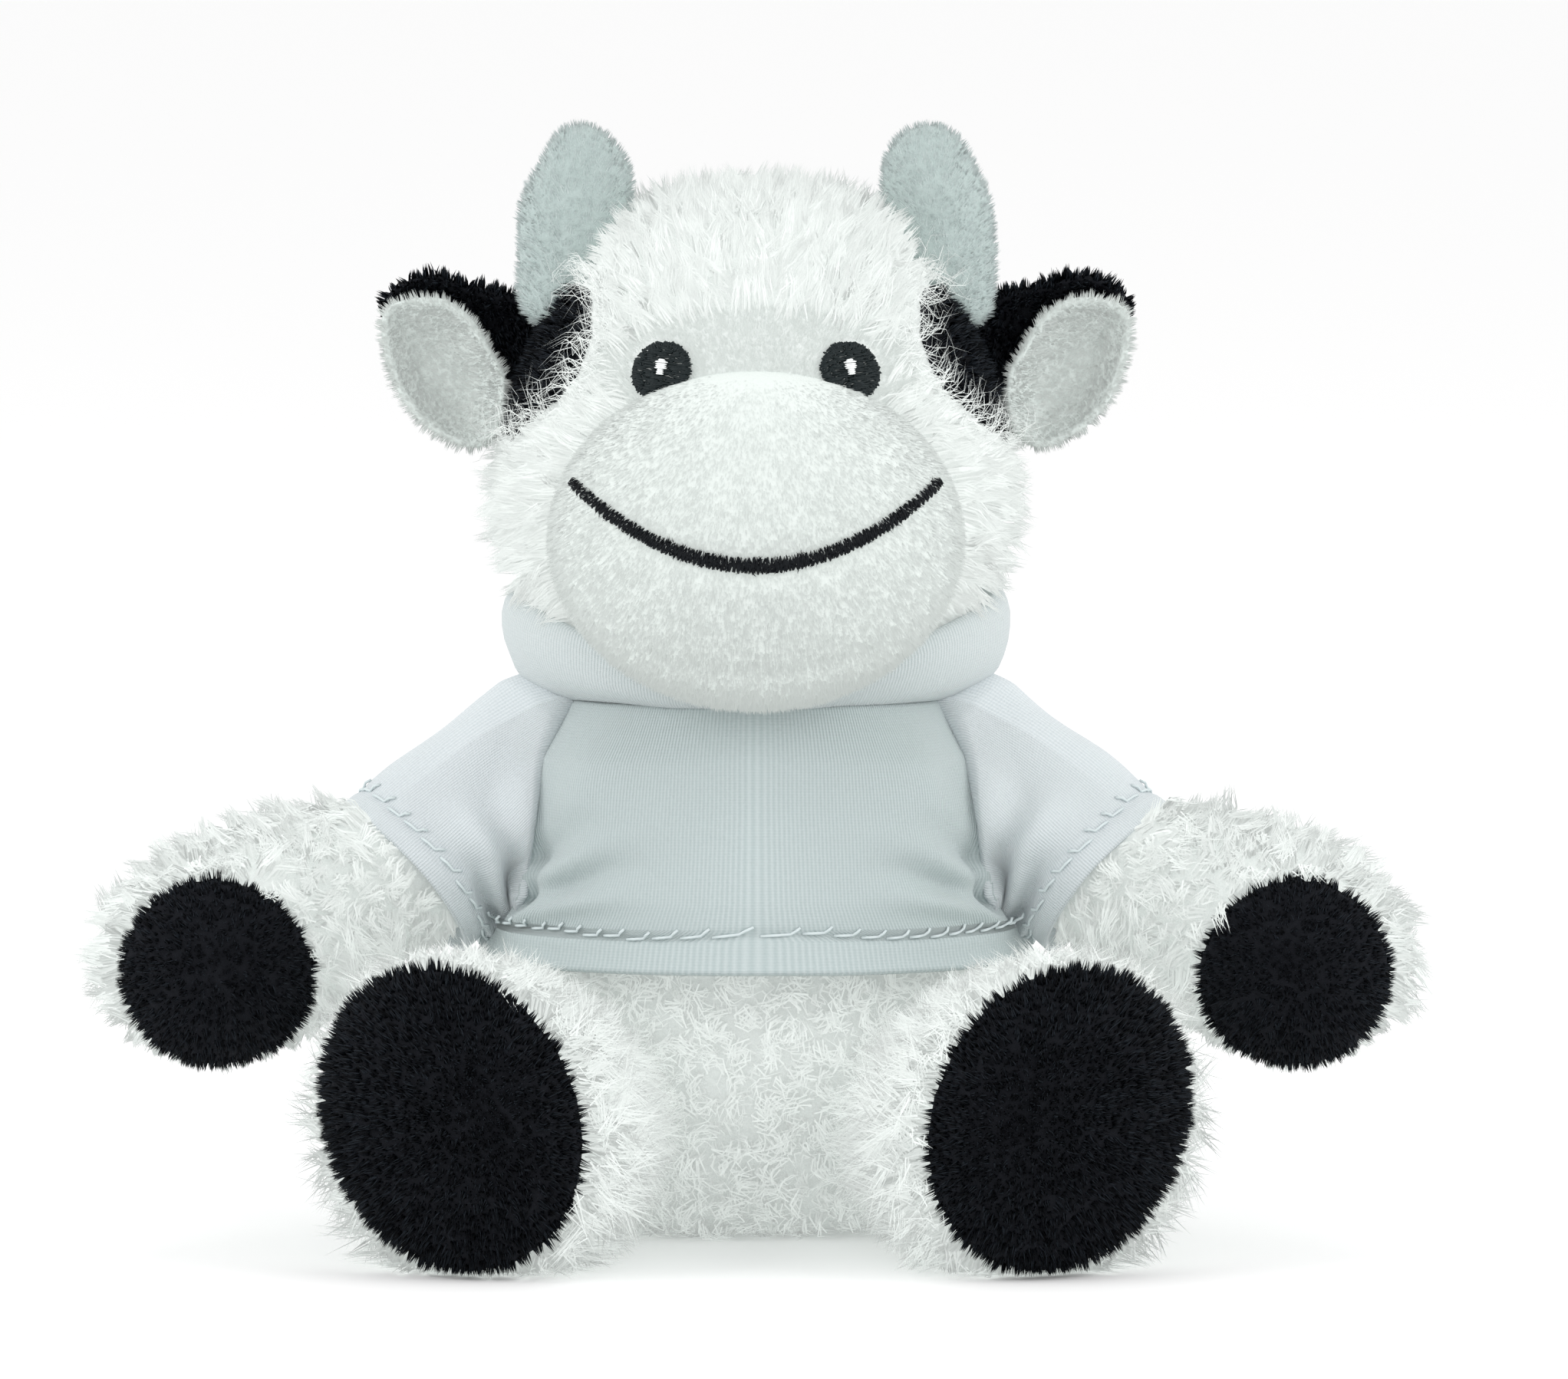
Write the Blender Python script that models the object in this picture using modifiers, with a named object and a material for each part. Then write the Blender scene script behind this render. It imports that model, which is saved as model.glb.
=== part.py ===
# Seated plush cow in a hooded jersey top.
# Metres, +Z up. The cow faces -Y, and its own left hand is at +X.
# The origin is the middle of the flat seat under the torso.

import math

import bmesh
import bpy
from mathutils import Matrix, Vector

# Fits
seat_gap = 0.0003
socket_gap = 0.0006
turning_gap = 0.00015
floor_cut = 0.0005
turning_hole_width = 0.0100

# Fabric
skin_wall = 0.0016
cloth_wall = 0.0012
pad_wall = 0.0018
patch_wall = 0.0010
thread_wall = 0.0006

# Torso
torso_height = 0.0805
torso_width = 0.0730
torso_depth = 0.0590

# Neck
neck_rise = 0.0015
neck_height = torso_height + neck_rise
neck_radius = 0.0100

# Head
head_rise = 0.0012
head_base = neck_height + head_rise
head_height = 0.0668
head_width = 0.0720
head_depth = 0.0660
head_forward = 0.0010

# Muzzle
muzzle_width = 0.0584
muzzle_height = 0.0484
muzzle_bulge = 0.0195
muzzle_rise = 0.0198
muzzle_centre_height = head_base + muzzle_rise
muzzle_centre_forward = 0.0300
muzzle_wall_depth = 0.0085

# Mouth
mouth_width = 0.0520
mouth_drop = 0.0024
mouth_bow = 0.0108
mouth_low_height = muzzle_centre_height - mouth_drop
mouth_end_height = mouth_low_height + mouth_bow
mouth_thread_radius = 0.00105

# Eyes
eye_spacing = 0.0258
eye_rise = 0.0445
eye_height = head_base + eye_rise
eye_width = 0.0083
eye_tall = 0.0077
eye_wall = 0.0008
glint_width = 0.0022
glint_tall = 0.0029
glint_wall = 0.0005

# Horns
horn_spacing = 0.0570
horn_rise = 0.0468
horn_base_height = head_base + horn_rise
horn_length = 0.0310
horn_width = 0.0164
horn_depth = 0.0130
horn_lean = math.radians(8)

# Side patches of the head
patch_rise = 0.0423
patch_height = head_base + patch_rise
patch_tall = 0.0220
patch_long = 0.0200

# Ears
ear_spacing = 0.0890
ear_length = 0.0216
ear_tall = 0.0258
ear_cup = 0.0066
ear_wall = 0.0014
ear_rise = 0.0426
ear_height = head_base + ear_rise
ear_forward = 0.0010
ear_hinge_gap = 0.0005
ear_hinge_spacing = head_width + 2 * ear_hinge_gap
ear_swing = math.radians(15)

# Shoulders and arms
shoulder_inset = 0.0065
shoulder_drop = 0.0175
shoulder_spacing = torso_width - 2 * shoulder_inset
shoulder_height = torso_height - shoulder_drop
shoulder_forward = 0.0020
sleeve_radius = 0.0180
cuff_radius = 0.0139
sleeve_length = 0.0270
raglan_tilt = math.radians(15)
raglan_inset = 0.0060
arm_root_radius = 0.0155
paw_width = 0.0310
paw_reach = 0.0555
arm_drop = 0.0205
arm_out = 0.0455
arm_front = 0.0180
hand_pad_width = 0.0270
hand_pad_tilt = math.radians(10)
arm_swing_clearance = 0.0025
arm_lift = math.radians(40)

# Hips and legs
hip_spacing = 0.0540
hip_height = 0.0180
hip_forward = 0.0140
hip_radius = 0.0150
leg_length = 0.0500
foot_width = 0.0390
foot_height = 0.0460
foot_spacing = 0.0880
foot_pad_width = 0.0385
foot_pad_height = 0.0424
leg_lift = math.radians(30)

# Tail
tail_height = 0.0160
tail_root_radius = 0.0032
tail_width = 0.0052
tail_length = 0.0150
tail_droop = math.radians(24)
tuft_start = 0.0115
tuft_width = 0.0110
tuft_length = 0.0130

# Hooded top
top_length = 0.0355
neckline_drop = 0.0040
neckline_height = torso_height - neckline_drop
hem_height = neckline_height - top_length
hem_stitch_height = 0.0050
hem_stitch_reach = 0.0560
hood_side_inset = 0.0115
hood_end_inset = 0.0085
hood_side_bulge = 0.0114
hood_end_bulge = 0.0135
hood_seam_width = torso_width - 2 * hood_side_inset
hood_seam_depth = torso_depth - 2 * hood_end_inset
hood_width = hood_seam_width + 2 * hood_side_bulge
hood_depth = hood_seam_depth + 2 * hood_end_bulge
hood_rim_height = 0.0150
hood_back_rim_height = 0.0115
hood_front_rim_height = 0.0034
hood_drop = 0.0200
hood_fold = 0.0110

# Facets
round_sides = 12
limb_sides = 8
ball_sides = 18
ball_rings = 10
ear_sides = 14
ear_rings = 8
hood_stations = 32

# Rings of the soft forms, from the start of the form to its end:
# place along it, width and depth as shares of its own, and how far it leans.
torso_ring_shares = (
    (0.00, 0.62, 0.62, 0.00),
    (0.05, 0.88, 0.88, 0.00),
    (0.22, 1.02, 1.02, 0.00),
    (0.45, 1.00, 1.00, 0.00),
    (0.66, 0.93, 0.92, 0.00),
    (0.84, 0.81, 0.80, 0.00),
    (0.95, 0.62, 0.60, 0.00),
    (1.00, 0.34, 0.34, 0.00),
)
head_ring_shares = (
    (0.00, 0.46, 0.42, 0.00),
    (0.06, 0.78, 0.74, 0.00),
    (0.20, 0.97, 0.94, 0.00),
    (0.40, 1.03, 1.02, 0.00),
    (0.62, 0.96, 0.99, 0.00),
    (0.82, 0.76, 0.82, 0.00),
    (0.95, 0.50, 0.54, 0.00),
    (1.00, 0.24, 0.26, 0.00),
)
horn_ring_shares = (
    (0.00, 0.74, 0.80, 0.00),
    (0.30, 1.00, 1.00, 0.00),
    (0.62, 1.04, 1.00, 0.00),
    (0.86, 0.80, 0.78, 0.00),
    (1.00, 0.34, 0.34, 0.00),
)
tuft_ring_shares = (
    (0.00, 0.40, 0.40, 0.00),
    (0.35, 1.00, 1.00, 0.00),
    (0.75, 0.80, 0.80, 0.00),
    (1.00, 0.20, 0.20, 0.00),
)
# Rings of a limb past its ball: place along the limb, then width and depth.
arm_ring_shares = (
    (0.03, 1.00, 1.00),
    (0.22, 0.89, 0.89),
    (0.46, 0.77, 0.77),
    (0.56, 0.77, 0.77),
    (0.86, 1.00, 1.00),
    (1.11, 1.00, 1.00),
    (1.28, 0.46, 0.46),
)
leg_ring_shares = (
    (0.06, 0.75, 0.64),
    (0.27, 0.66, 0.56),
    (0.72, 1.00, 1.00),
    (0.97, 0.98, 0.98),
    (1.08, 0.55, 0.55),
)
tail_ring_shares = (
    (0.17, 1.00, 1.00),
    (1.00, 1.00, 1.00),
)
# The hood's section from the neck seam to the rim: out and up, then what the fold behind adds to the
# outside, or how the wall lies inside it.
hood_front_share = 0.22
hood_outside_shares = (
    (0.00, 0.00, 0.00, 0.00),
    (0.45, 0.05, 0.00, 0.75),
    (0.88, 0.20, 0.40, 1.00),
    (1.00, 0.50, 0.85, 0.80),
    (1.00, 0.75, 1.00, 0.25),
    (0.98, 1.00, 0.40, 0.00),
)
hood_inside_shares = (
    (0.98, 0.96, 1.00, 0.00),
    (1.00, 0.75, 1.00, 0.00),
    (1.00, 0.50, 1.00, 0.10),
    (0.88, 0.20, 0.75, 0.75),
    (0.45, 0.05, 0.00, 1.00),
    (0.00, 0.00, 0.00, 1.00),
)
muzzle_slope_share = 0.70
ear_lean_share = 0.28
sole_share = 0.93
sleeve_ring_shares = (-0.52, -0.2, 0.1, 0.45, 1.0)
ball_ring_shares = ((-0.98, 0.24), (-0.78, 0.64), (-0.34, 0.95))
upright_share = 0.10
lift_shares = (0.0, 0.5, 1.0)
settle_share = 0.48

# Materials: colour, roughness
long_pile_finish = ((0.84, 0.86, 0.85), 0.95)
short_pile_finish = ((0.86, 0.88, 0.87), 0.90)
horn_finish = ((0.68, 0.75, 0.77), 0.90)
black_finish = ((0.009, 0.010, 0.014), 0.90)
thread_finish = ((0.020, 0.024, 0.026), 0.60)
glint_finish = ((0.85, 0.86, 0.86), 0.60)
jersey_finish = ((0.74, 0.79, 0.84), 0.85)
stuffing_finish = ((0.80, 0.80, 0.78), 1.00)

sides = (("left", 1), ("right", -1))


def new_collection(name):
    """A collection of the scene, with no object in it yet."""
    made = bpy.data.collections.new(name)
    bpy.context.scene.collection.children.link(made)
    return made


def new_material(name, finish):
    colour, roughness = finish
    made = bpy.data.materials.new(name)
    made.use_nodes = True
    shader = made.node_tree.nodes["Principled BSDF"]
    shader.inputs["Base Color"].default_value = (*colour, 1)
    shader.inputs["Roughness"].default_value = roughness
    shader.inputs["Metallic"].default_value = 0
    return made


def add_object(name, bm, material=None, at=Vector()):
    """Turns a bmesh drawn in the whole part's frame into an object with its origin at the given point."""
    bmesh.ops.recalc_face_normals(bm, faces=bm.faces)
    bmesh.ops.translate(bm, vec=-at, verts=bm.verts)
    mesh = bpy.data.meshes.new(name)
    bm.to_mesh(mesh)
    bm.free()
    mesh.shade_smooth()
    made = bpy.data.objects.new(name, mesh)
    made.location = at
    if material:
        part.objects.link(made)
        made.data.materials.append(material)
    else:
        cutters.objects.link(made)
        made.hide_render = True
        made.display_type = "WIRE"
    return made


def smooth(target, levels=1):
    modifier = target.modifiers.new("soft", "SUBSURF")
    modifier.levels = levels
    modifier.render_levels = levels
    return target


def boolean(target, operation, *others):
    for other in others:
        modifier = target.modifiers.new(other.name, "BOOLEAN")
        modifier.operation = operation
        modifier.object = other
    return target


def cut(target, *others):
    return boolean(target, "DIFFERENCE", *others)


def keep_inside(target, *others):
    return boolean(target, "INTERSECT", *others)


def frame_along(start, direction):
    """A frame at start whose Z runs along the direction and whose Y leans up."""
    ahead = direction.normalized()
    across = Vector((0, 0, 1)).cross(ahead)
    if across.length < upright_share:
        across = Vector((1, 0, 0))
    across.normalize()
    up = ahead.cross(across)
    turned = Matrix((across, up, ahead)).transposed().to_4x4()
    return Matrix.Translation(start) @ turned


def ring_edges(bm, radius_x, radius_y, count, height, lean):
    """One oval ring of a cage. Corners are drawn out so that the smoothed ring has the radii given."""
    stretch = 1 / math.cos(math.pi / count)
    before = len(bm.edges)
    ring = bmesh.ops.create_circle(bm, segments=count, radius=1)["verts"]
    bmesh.ops.scale(bm, vec=(radius_x * stretch, radius_y * stretch, 1), verts=ring)
    bmesh.ops.translate(bm, vec=(0, lean, height), verts=ring)
    bm.edges.ensure_lookup_table()
    return list(bm.edges[before:])


def cage(rings, count, capped=True):
    """A bmesh of oval rings, each a height, two radii and a lean, joined from first to last."""
    bm = bmesh.new()
    loops = [ring_edges(bm, wide, deep, count, height, lean) for height, wide, deep, lean in rings]
    for lower, upper in zip(loops, loops[1:]):
        bmesh.ops.bridge_loops(bm, edges=lower + upper)
    if capped:
        for loop in (loops[0], loops[-1]):
            bmesh.ops.edgeloop_fill(bm, edges=loop)
    return bm


def swollen_rings(length, width, depth, ring_shares, swell):
    """A form's rings, all of them moved outwards by swell."""
    rings = []
    for along, across, deep, lean in ring_shares:
        end = {0.0: -swell, 1.0: swell}.get(along, 0)
        wide = width * across / 2 + swell
        thick = depth * deep / 2 + swell
        rings.append((length * along + end, wide, thick, depth * lean))
    return rings


def soft_object(name, rings, count, placed, material, at, filling):
    """A soft form smoothed from its cage. A filling or a hollow only has its corners settled inwards."""
    bm = cage(rings, count)
    if filling:
        axes = dict.fromkeys(("use_axis_x", "use_axis_y", "use_axis_z"), True)
        bmesh.ops.smooth_vert(bm, verts=bm.verts, factor=settle_share, **axes)
    bmesh.ops.transform(bm, matrix=placed, verts=bm.verts)
    made = add_object(name, bm, material, at)
    return made if filling else smooth(made)


def torso_form(name, swell, material=None, filling=False):
    rings = swollen_rings(torso_height, torso_width, torso_depth, torso_ring_shares, swell)
    placed = Matrix.Translation((0, 0, -floor_cut))
    return soft_object(name, rings, round_sides, placed, material, Vector(), filling)


def head_form(name, swell, material=None, at=Vector(), filling=False):
    rings = swollen_rings(head_height, head_width, head_depth, head_ring_shares, swell)
    placed = Matrix.Translation((0, -head_forward, head_base))
    return soft_object(name, rings, round_sides, placed, material, at, filling)


def ball(name, centre, radius, material=None, at=Vector()):
    bm = bmesh.new()
    bmesh.ops.create_uvsphere(bm, u_segments=ball_sides, v_segments=ball_rings, radius=radius)
    bmesh.ops.translate(bm, vec=centre, verts=bm.verts)
    return add_object(name, bm, material, at)


def block(name, low, high):
    bm = bmesh.new()
    bmesh.ops.create_cube(bm, size=1)
    low, high = Vector(low), Vector(high)
    bmesh.ops.scale(bm, vec=high - low, verts=bm.verts)
    bmesh.ops.translate(bm, vec=(low + high) / 2, verts=bm.verts)
    return add_object(name, bm)


def oval_punch(name, placed, width, height, reach):
    """An oval bar that runs along a frame's Z from its origin."""
    bm = bmesh.new()
    bmesh.ops.create_cone(
        bm, cap_ends=True, segments=ball_sides, radius1=width / 2, radius2=width / 2, depth=reach
    )
    bmesh.ops.scale(bm, vec=(1, height / width, 1), verts=bm.verts)
    bmesh.ops.translate(bm, vec=(0, 0, reach / 2), verts=bm.verts)
    bmesh.ops.transform(bm, matrix=placed, verts=bm.verts)
    return add_object(name, bm)


def empty(name, at, parent=None):
    made = bpy.data.objects.new(name, None)
    made.empty_display_size = neck_radius
    made.location = at - (parent.matrix_world.translation if parent else Vector())
    made.parent = parent
    part.objects.link(made)
    bpy.context.view_layer.update()
    return made


def hang(piece, axis):
    """Parents a piece to the empty on its joint's axis. The two share one place."""
    piece.location = (0, 0, 0)
    piece.parent = axis


def limb_rings(root_radius, length, width, depth, ring_shares, swell):
    """Rings of a limb: a ball about the pivot, then the stations of the limb's own table."""
    radius = root_radius + swell
    rings = [(radius * along, radius * wide, radius * wide, 0) for along, wide in ball_ring_shares]
    for along, wide, deep in ring_shares:
        rings.append((length * along, width * wide / 2 + swell, depth * deep / 2 + swell, 0))
    last = rings[-1]
    rings[-1] = (last[0] + swell, *last[1:])
    return rings


for old in list(bpy.data.objects):
    bpy.data.objects.remove(old)
part = new_collection("plush_cow")
cutters = new_collection("cutters")

long_pile = new_material("white_long_pile", long_pile_finish)
short_pile = new_material("white_short_pile", short_pile_finish)
horn_plush = new_material("grey_short_pile", horn_finish)
black_plush = new_material("black_short_pile", black_finish)
black_thread = new_material("black_thread", thread_finish)
white_thread = new_material("white_thread", glint_finish)
jersey = new_material("white_jersey", jersey_finish)
stuffing = new_material("fibre_stuffing", stuffing_finish)

# Joint axes
neck_at = Vector((0, 0, neck_height))
torso_axis = empty("torso_frame", Vector())
neck_axis = empty("neck_axis", neck_at, torso_axis)
head_axis = empty("head_axis", neck_at, neck_axis)


def shoulder_at(sign):
    return Vector((sign * shoulder_spacing / 2, -shoulder_forward, shoulder_height))


def hip_at(sign):
    return Vector((sign * hip_spacing / 2, -hip_forward, hip_height))


def arm_direction(sign):
    return Vector((sign * arm_out, -arm_front, -arm_drop)).normalized()


def foot_direction(sign):
    aim = Vector((sign * (foot_spacing - hip_spacing) / 2, 0, foot_height / 2 - floor_cut - hip_height))
    aim.y = -math.sqrt(leg_length**2 - aim.length_squared)
    return aim.normalized()


# Balls that the sockets leave room for
neck_socket = ball("neck_socket", neck_at, neck_radius + socket_gap)
shoulder_sockets = {
    name: ball(f"shoulder_socket_{name}", shoulder_at(sign), sleeve_radius + socket_gap)
    for name, sign in sides
}
hip_sockets = {
    name: ball(f"hip_socket_{name}", hip_at(sign), hip_radius + socket_gap) for name, sign in sides
}
limb_sockets = [*hip_sockets.values(), *shoulder_sockets.values()]
tail_at = Vector((0, torso_depth / 2, tail_height))
tail_socket = ball("tail_socket", tail_at, tail_root_radius + socket_gap)
under_floor = block(
    "under_floor",
    (-torso_width * 2, -torso_depth * 2, -torso_height),
    (torso_width * 2, torso_depth * 2, 0),
)


def build_torso():
    """The body skin has holes where the limbs are sewn in, and the stuffing cups each limb's ball."""
    skin = torso_form("torso_skin", 0, long_pile)
    hollow = torso_form("torso_hollow", -skin_wall, filling=True)
    cut(skin, *limb_sockets, hollow, under_floor, neck_socket, tail_socket)
    hang(skin, torso_axis)
    filling = torso_form("torso_stuffing", -skin_wall - seat_gap, stuffing, filling=True)
    cut(filling, *limb_sockets, neck_socket, tail_socket)
    hang(filling, torso_axis)


def build_neck():
    filling = ball("neck_stuffing", neck_at, neck_radius, stuffing, neck_at)
    hang(filling, neck_axis)


def build_head():
    skin = head_form("head_skin", 0, long_pile, neck_at)
    cut(skin, head_form("head_hollow", -skin_wall, filling=True), neck_socket)
    hang(skin, head_axis)
    filling = head_form("head_stuffing", -skin_wall - seat_gap, stuffing, neck_at, filling=True)
    cut(filling, neck_socket)
    hang(filling, head_axis)


head_seat = head_form("head_seat", seat_gap)
muzzle_middle = Vector((0, -muzzle_centre_forward, muzzle_centre_height))


def muzzle_dome(name, swell, material=None, at=Vector()):
    """A dome whose side wall runs straight back to the face, up to a rim that slopes with the chin."""
    bm = bmesh.new()
    bmesh.ops.create_uvsphere(bm, u_segments=ball_sides + 4, v_segments=ball_rings + 2, radius=1)
    bmesh.ops.rotate(bm, cent=(0, 0, 0), matrix=Matrix.Rotation(math.pi / 2, 3, "X"), verts=bm.verts)
    whole = list(bm.verts) + list(bm.edges) + list(bm.faces)
    bmesh.ops.bisect_plane(bm, geom=whole, plane_co=(0, 0, 0), plane_no=(0, 1, 0), clear_outer=True)
    rim = [edge for edge in bm.edges if edge.is_boundary]
    radii = (muzzle_width / 2 + swell, muzzle_bulge + swell, muzzle_height / 2 + swell)
    bmesh.ops.scale(bm, vec=radii, verts=bm.verts)
    wall = bmesh.ops.extrude_edge_only(bm, edges=rim)["geom"]
    back = [piece for piece in wall if isinstance(piece, bmesh.types.BMVert)]
    for vert in back:
        rise = vert.co.z / radii[2]
        vert.co.y += muzzle_wall_depth * (1 + muzzle_slope_share * rise)
    bmesh.ops.holes_fill(bm, edges=bm.edges)
    bmesh.ops.translate(bm, vec=muzzle_middle, verts=bm.verts)
    return add_object(name, bm, material, at)


def build_muzzle():
    dome = muzzle_dome("muzzle", 0, short_pile, neck_at)
    cut(dome, head_seat)
    hang(dome, head_axis)


def muzzle_front(across, height):
    """How far forward the muzzle stands at a place on its face."""
    side = across / (muzzle_width / 2)
    rise = (height - muzzle_centre_height) / (muzzle_height / 2)
    return muzzle_centre_forward + muzzle_bulge * math.sqrt(max(0, 1 - side**2 - rise**2))


def build_mouth():
    """One thread along the face of the muzzle, drawn as a shallow bow."""
    points = []
    steps = 2 * round_sides
    stand_off = mouth_thread_radius + seat_gap
    for step in range(steps + 1):
        share = 2 * step / steps - 1
        across = share * mouth_width / 2
        height = mouth_low_height + (mouth_end_height - mouth_low_height) * share**2
        points.append((across, height))
    spline_points = []
    for across, height in points:
        face = Vector((across, -muzzle_front(across, height), height))
        out = face - muzzle_middle
        out.x /= (muzzle_width / 2) ** 2
        out.y /= muzzle_bulge**2
        out.z /= (muzzle_height / 2) ** 2
        spline_points.append(face + out.normalized() * stand_off - neck_at)
    curve = bpy.data.curves.new("mouth_thread", "CURVE")
    curve.dimensions = "3D"
    curve.bevel_depth = mouth_thread_radius
    curve.bevel_resolution = 1
    curve.use_fill_caps = True
    spline = curve.splines.new("POLY")
    spline.points.add(len(spline_points) - 1)
    for point, place in zip(spline.points, spline_points):
        point.co = (*place, 1)
    thread = bpy.data.objects.new("mouth_thread", curve)
    curve.materials.append(black_thread)
    part.objects.link(thread)
    hang(thread, head_axis)


def head_patch(name, lift, wall, outline, material, *clear_of):
    """A piece that lies on the head's skin, inside the outline of a punch."""
    floor = head_form(f"{name}_floor", lift)
    piece = head_form(name, lift + wall, material, neck_at)
    keep_inside(piece, outline)
    cut(piece, floor, *clear_of)
    hang(piece, head_axis)


def build_eyes():
    """Each eye is a raised disc of thread with a glint sewn over it. The muzzle covers its lower edge."""
    muzzle_clear = muzzle_dome("muzzle_clear", seat_gap)
    for name, sign in sides:
        start = Vector((sign * eye_spacing / 2, 0, eye_height))
        placed = frame_along(start, Vector((0, -1, 0)))
        outline = oval_punch(f"eye_outline_{name}", placed, eye_width, eye_tall, head_depth)
        head_patch(f"eye_{name}", seat_gap, eye_wall, outline, black_thread, muzzle_clear)
        outline = oval_punch(f"glint_outline_{name}", placed, glint_width, glint_tall, head_depth)
        head_patch(f"eye_glint_{name}", 2 * seat_gap + eye_wall, glint_wall, outline, white_thread)


def build_side_patches():
    for name, sign in sides:
        start = Vector((sign * head_width / 4, 0, patch_height))
        placed = frame_along(start, Vector((sign, 0, 0)))
        outline = oval_punch(f"patch_outline_{name}", placed, patch_long, patch_tall, head_width)
        head_patch(f"head_patch_{name}", seat_gap, patch_wall, outline, black_plush)


def build_horns():
    for name, sign in sides:
        rings = swollen_rings(horn_length, horn_width, horn_depth, horn_ring_shares, 0)
        bm = cage(rings, limb_sides)
        start = Vector((sign * horn_spacing / 2, 0, horn_base_height))
        lean = Matrix.Rotation(-sign * horn_lean, 4, "Y")
        bmesh.ops.transform(bm, matrix=Matrix.Translation(start) @ lean, verts=bm.verts)
        horn = smooth(add_object(f"horn_{name}", bm, horn_plush, neck_at))
        cut(horn, head_form(f"horn_seat_{name}", patch_wall + 2 * seat_gap))
        hang(horn, head_axis)


def ear_bowl(name, sign, swell, material, axis_at, *clear_of):
    """Half an egg, hollow towards the front, that leans out at its top and is cut by the head."""
    bm = bmesh.new()
    bmesh.ops.create_uvsphere(bm, u_segments=ear_sides, v_segments=ear_rings, radius=1)
    radii = (ear_length / 2 + swell, ear_cup + swell, ear_tall / 2 + swell)
    bmesh.ops.scale(bm, vec=radii, verts=bm.verts)
    whole = list(bm.verts) + list(bm.edges) + list(bm.faces)
    bmesh.ops.bisect_plane(bm, geom=whole, plane_co=(0, 0, 0), plane_no=(0, -1, 0), clear_outer=True)
    for vert in bm.verts:
        vert.co.x = sign * (vert.co.x + ear_lean_share * vert.co.z)
    middle = Vector((sign * ear_spacing / 2, -ear_forward, ear_height))
    bmesh.ops.translate(bm, vec=middle, verts=bm.verts)
    bowl = add_object(name, bm, material, axis_at)
    shell = bowl.modifiers.new("wall", "SOLIDIFY")
    shell.thickness = ear_wall
    shell.offset = -1
    return cut(bowl, *clear_of)


def build_ears():
    """Each ear is two cupped layers sewn together. Its root is cut to clear the head as it folds."""
    for name, sign in sides:
        at = Vector((sign * ear_hinge_spacing / 2, 0, ear_height))
        axis = empty(f"ear_axis_{name}", at, head_axis)
        roots = []
        for turn in (-ear_swing, 0, ear_swing):
            root = head_form(f"ear_root_{name}", patch_wall + 2 * seat_gap)
            swung = Matrix.Translation(at) @ Matrix.Rotation(turn, 4, "Z") @ Matrix.Translation(-at)
            root.data.transform(swung)
            roots.append(root)
        back = ear_bowl(f"ear_back_{name}", sign, 0, black_plush, at, *roots)
        lining = ear_bowl(f"ear_lining_{name}", sign, -ear_wall - seat_gap, short_pile, at, *roots)
        for piece in (back, lining):
            hang(piece, axis)


def arm_form(name, sign, swell, material=None, filling=False):
    """A ball in the shoulder, a slimmer wrist in the cuff and a round paw."""
    at = shoulder_at(sign)
    rings = limb_rings(arm_root_radius, paw_reach, paw_width, paw_width, arm_ring_shares, swell)
    placed = frame_along(at, arm_direction(sign))
    return soft_object(name, rings, limb_sides, placed, material, at if material else Vector(), filling)


def swept_body(name, at, axis, lift, root_radius):
    """The dressed torso as a limb meets it while it lifts, less the ball that the limb turns on."""
    met = []
    for share in lift_shares:
        body = torso_form(f"{name}_{share}", 2 * seat_gap + cloth_wall)
        back = Matrix.Rotation(-share * lift, 4, axis)
        body.data.transform(Matrix.Translation(at) @ back @ Matrix.Translation(-at))
        met.append(body)
    boolean(met[0], "UNION", *met[1:])
    return cut(met[0], ball(f"{name}_turning_ball", at, root_radius + turning_gap))


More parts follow.
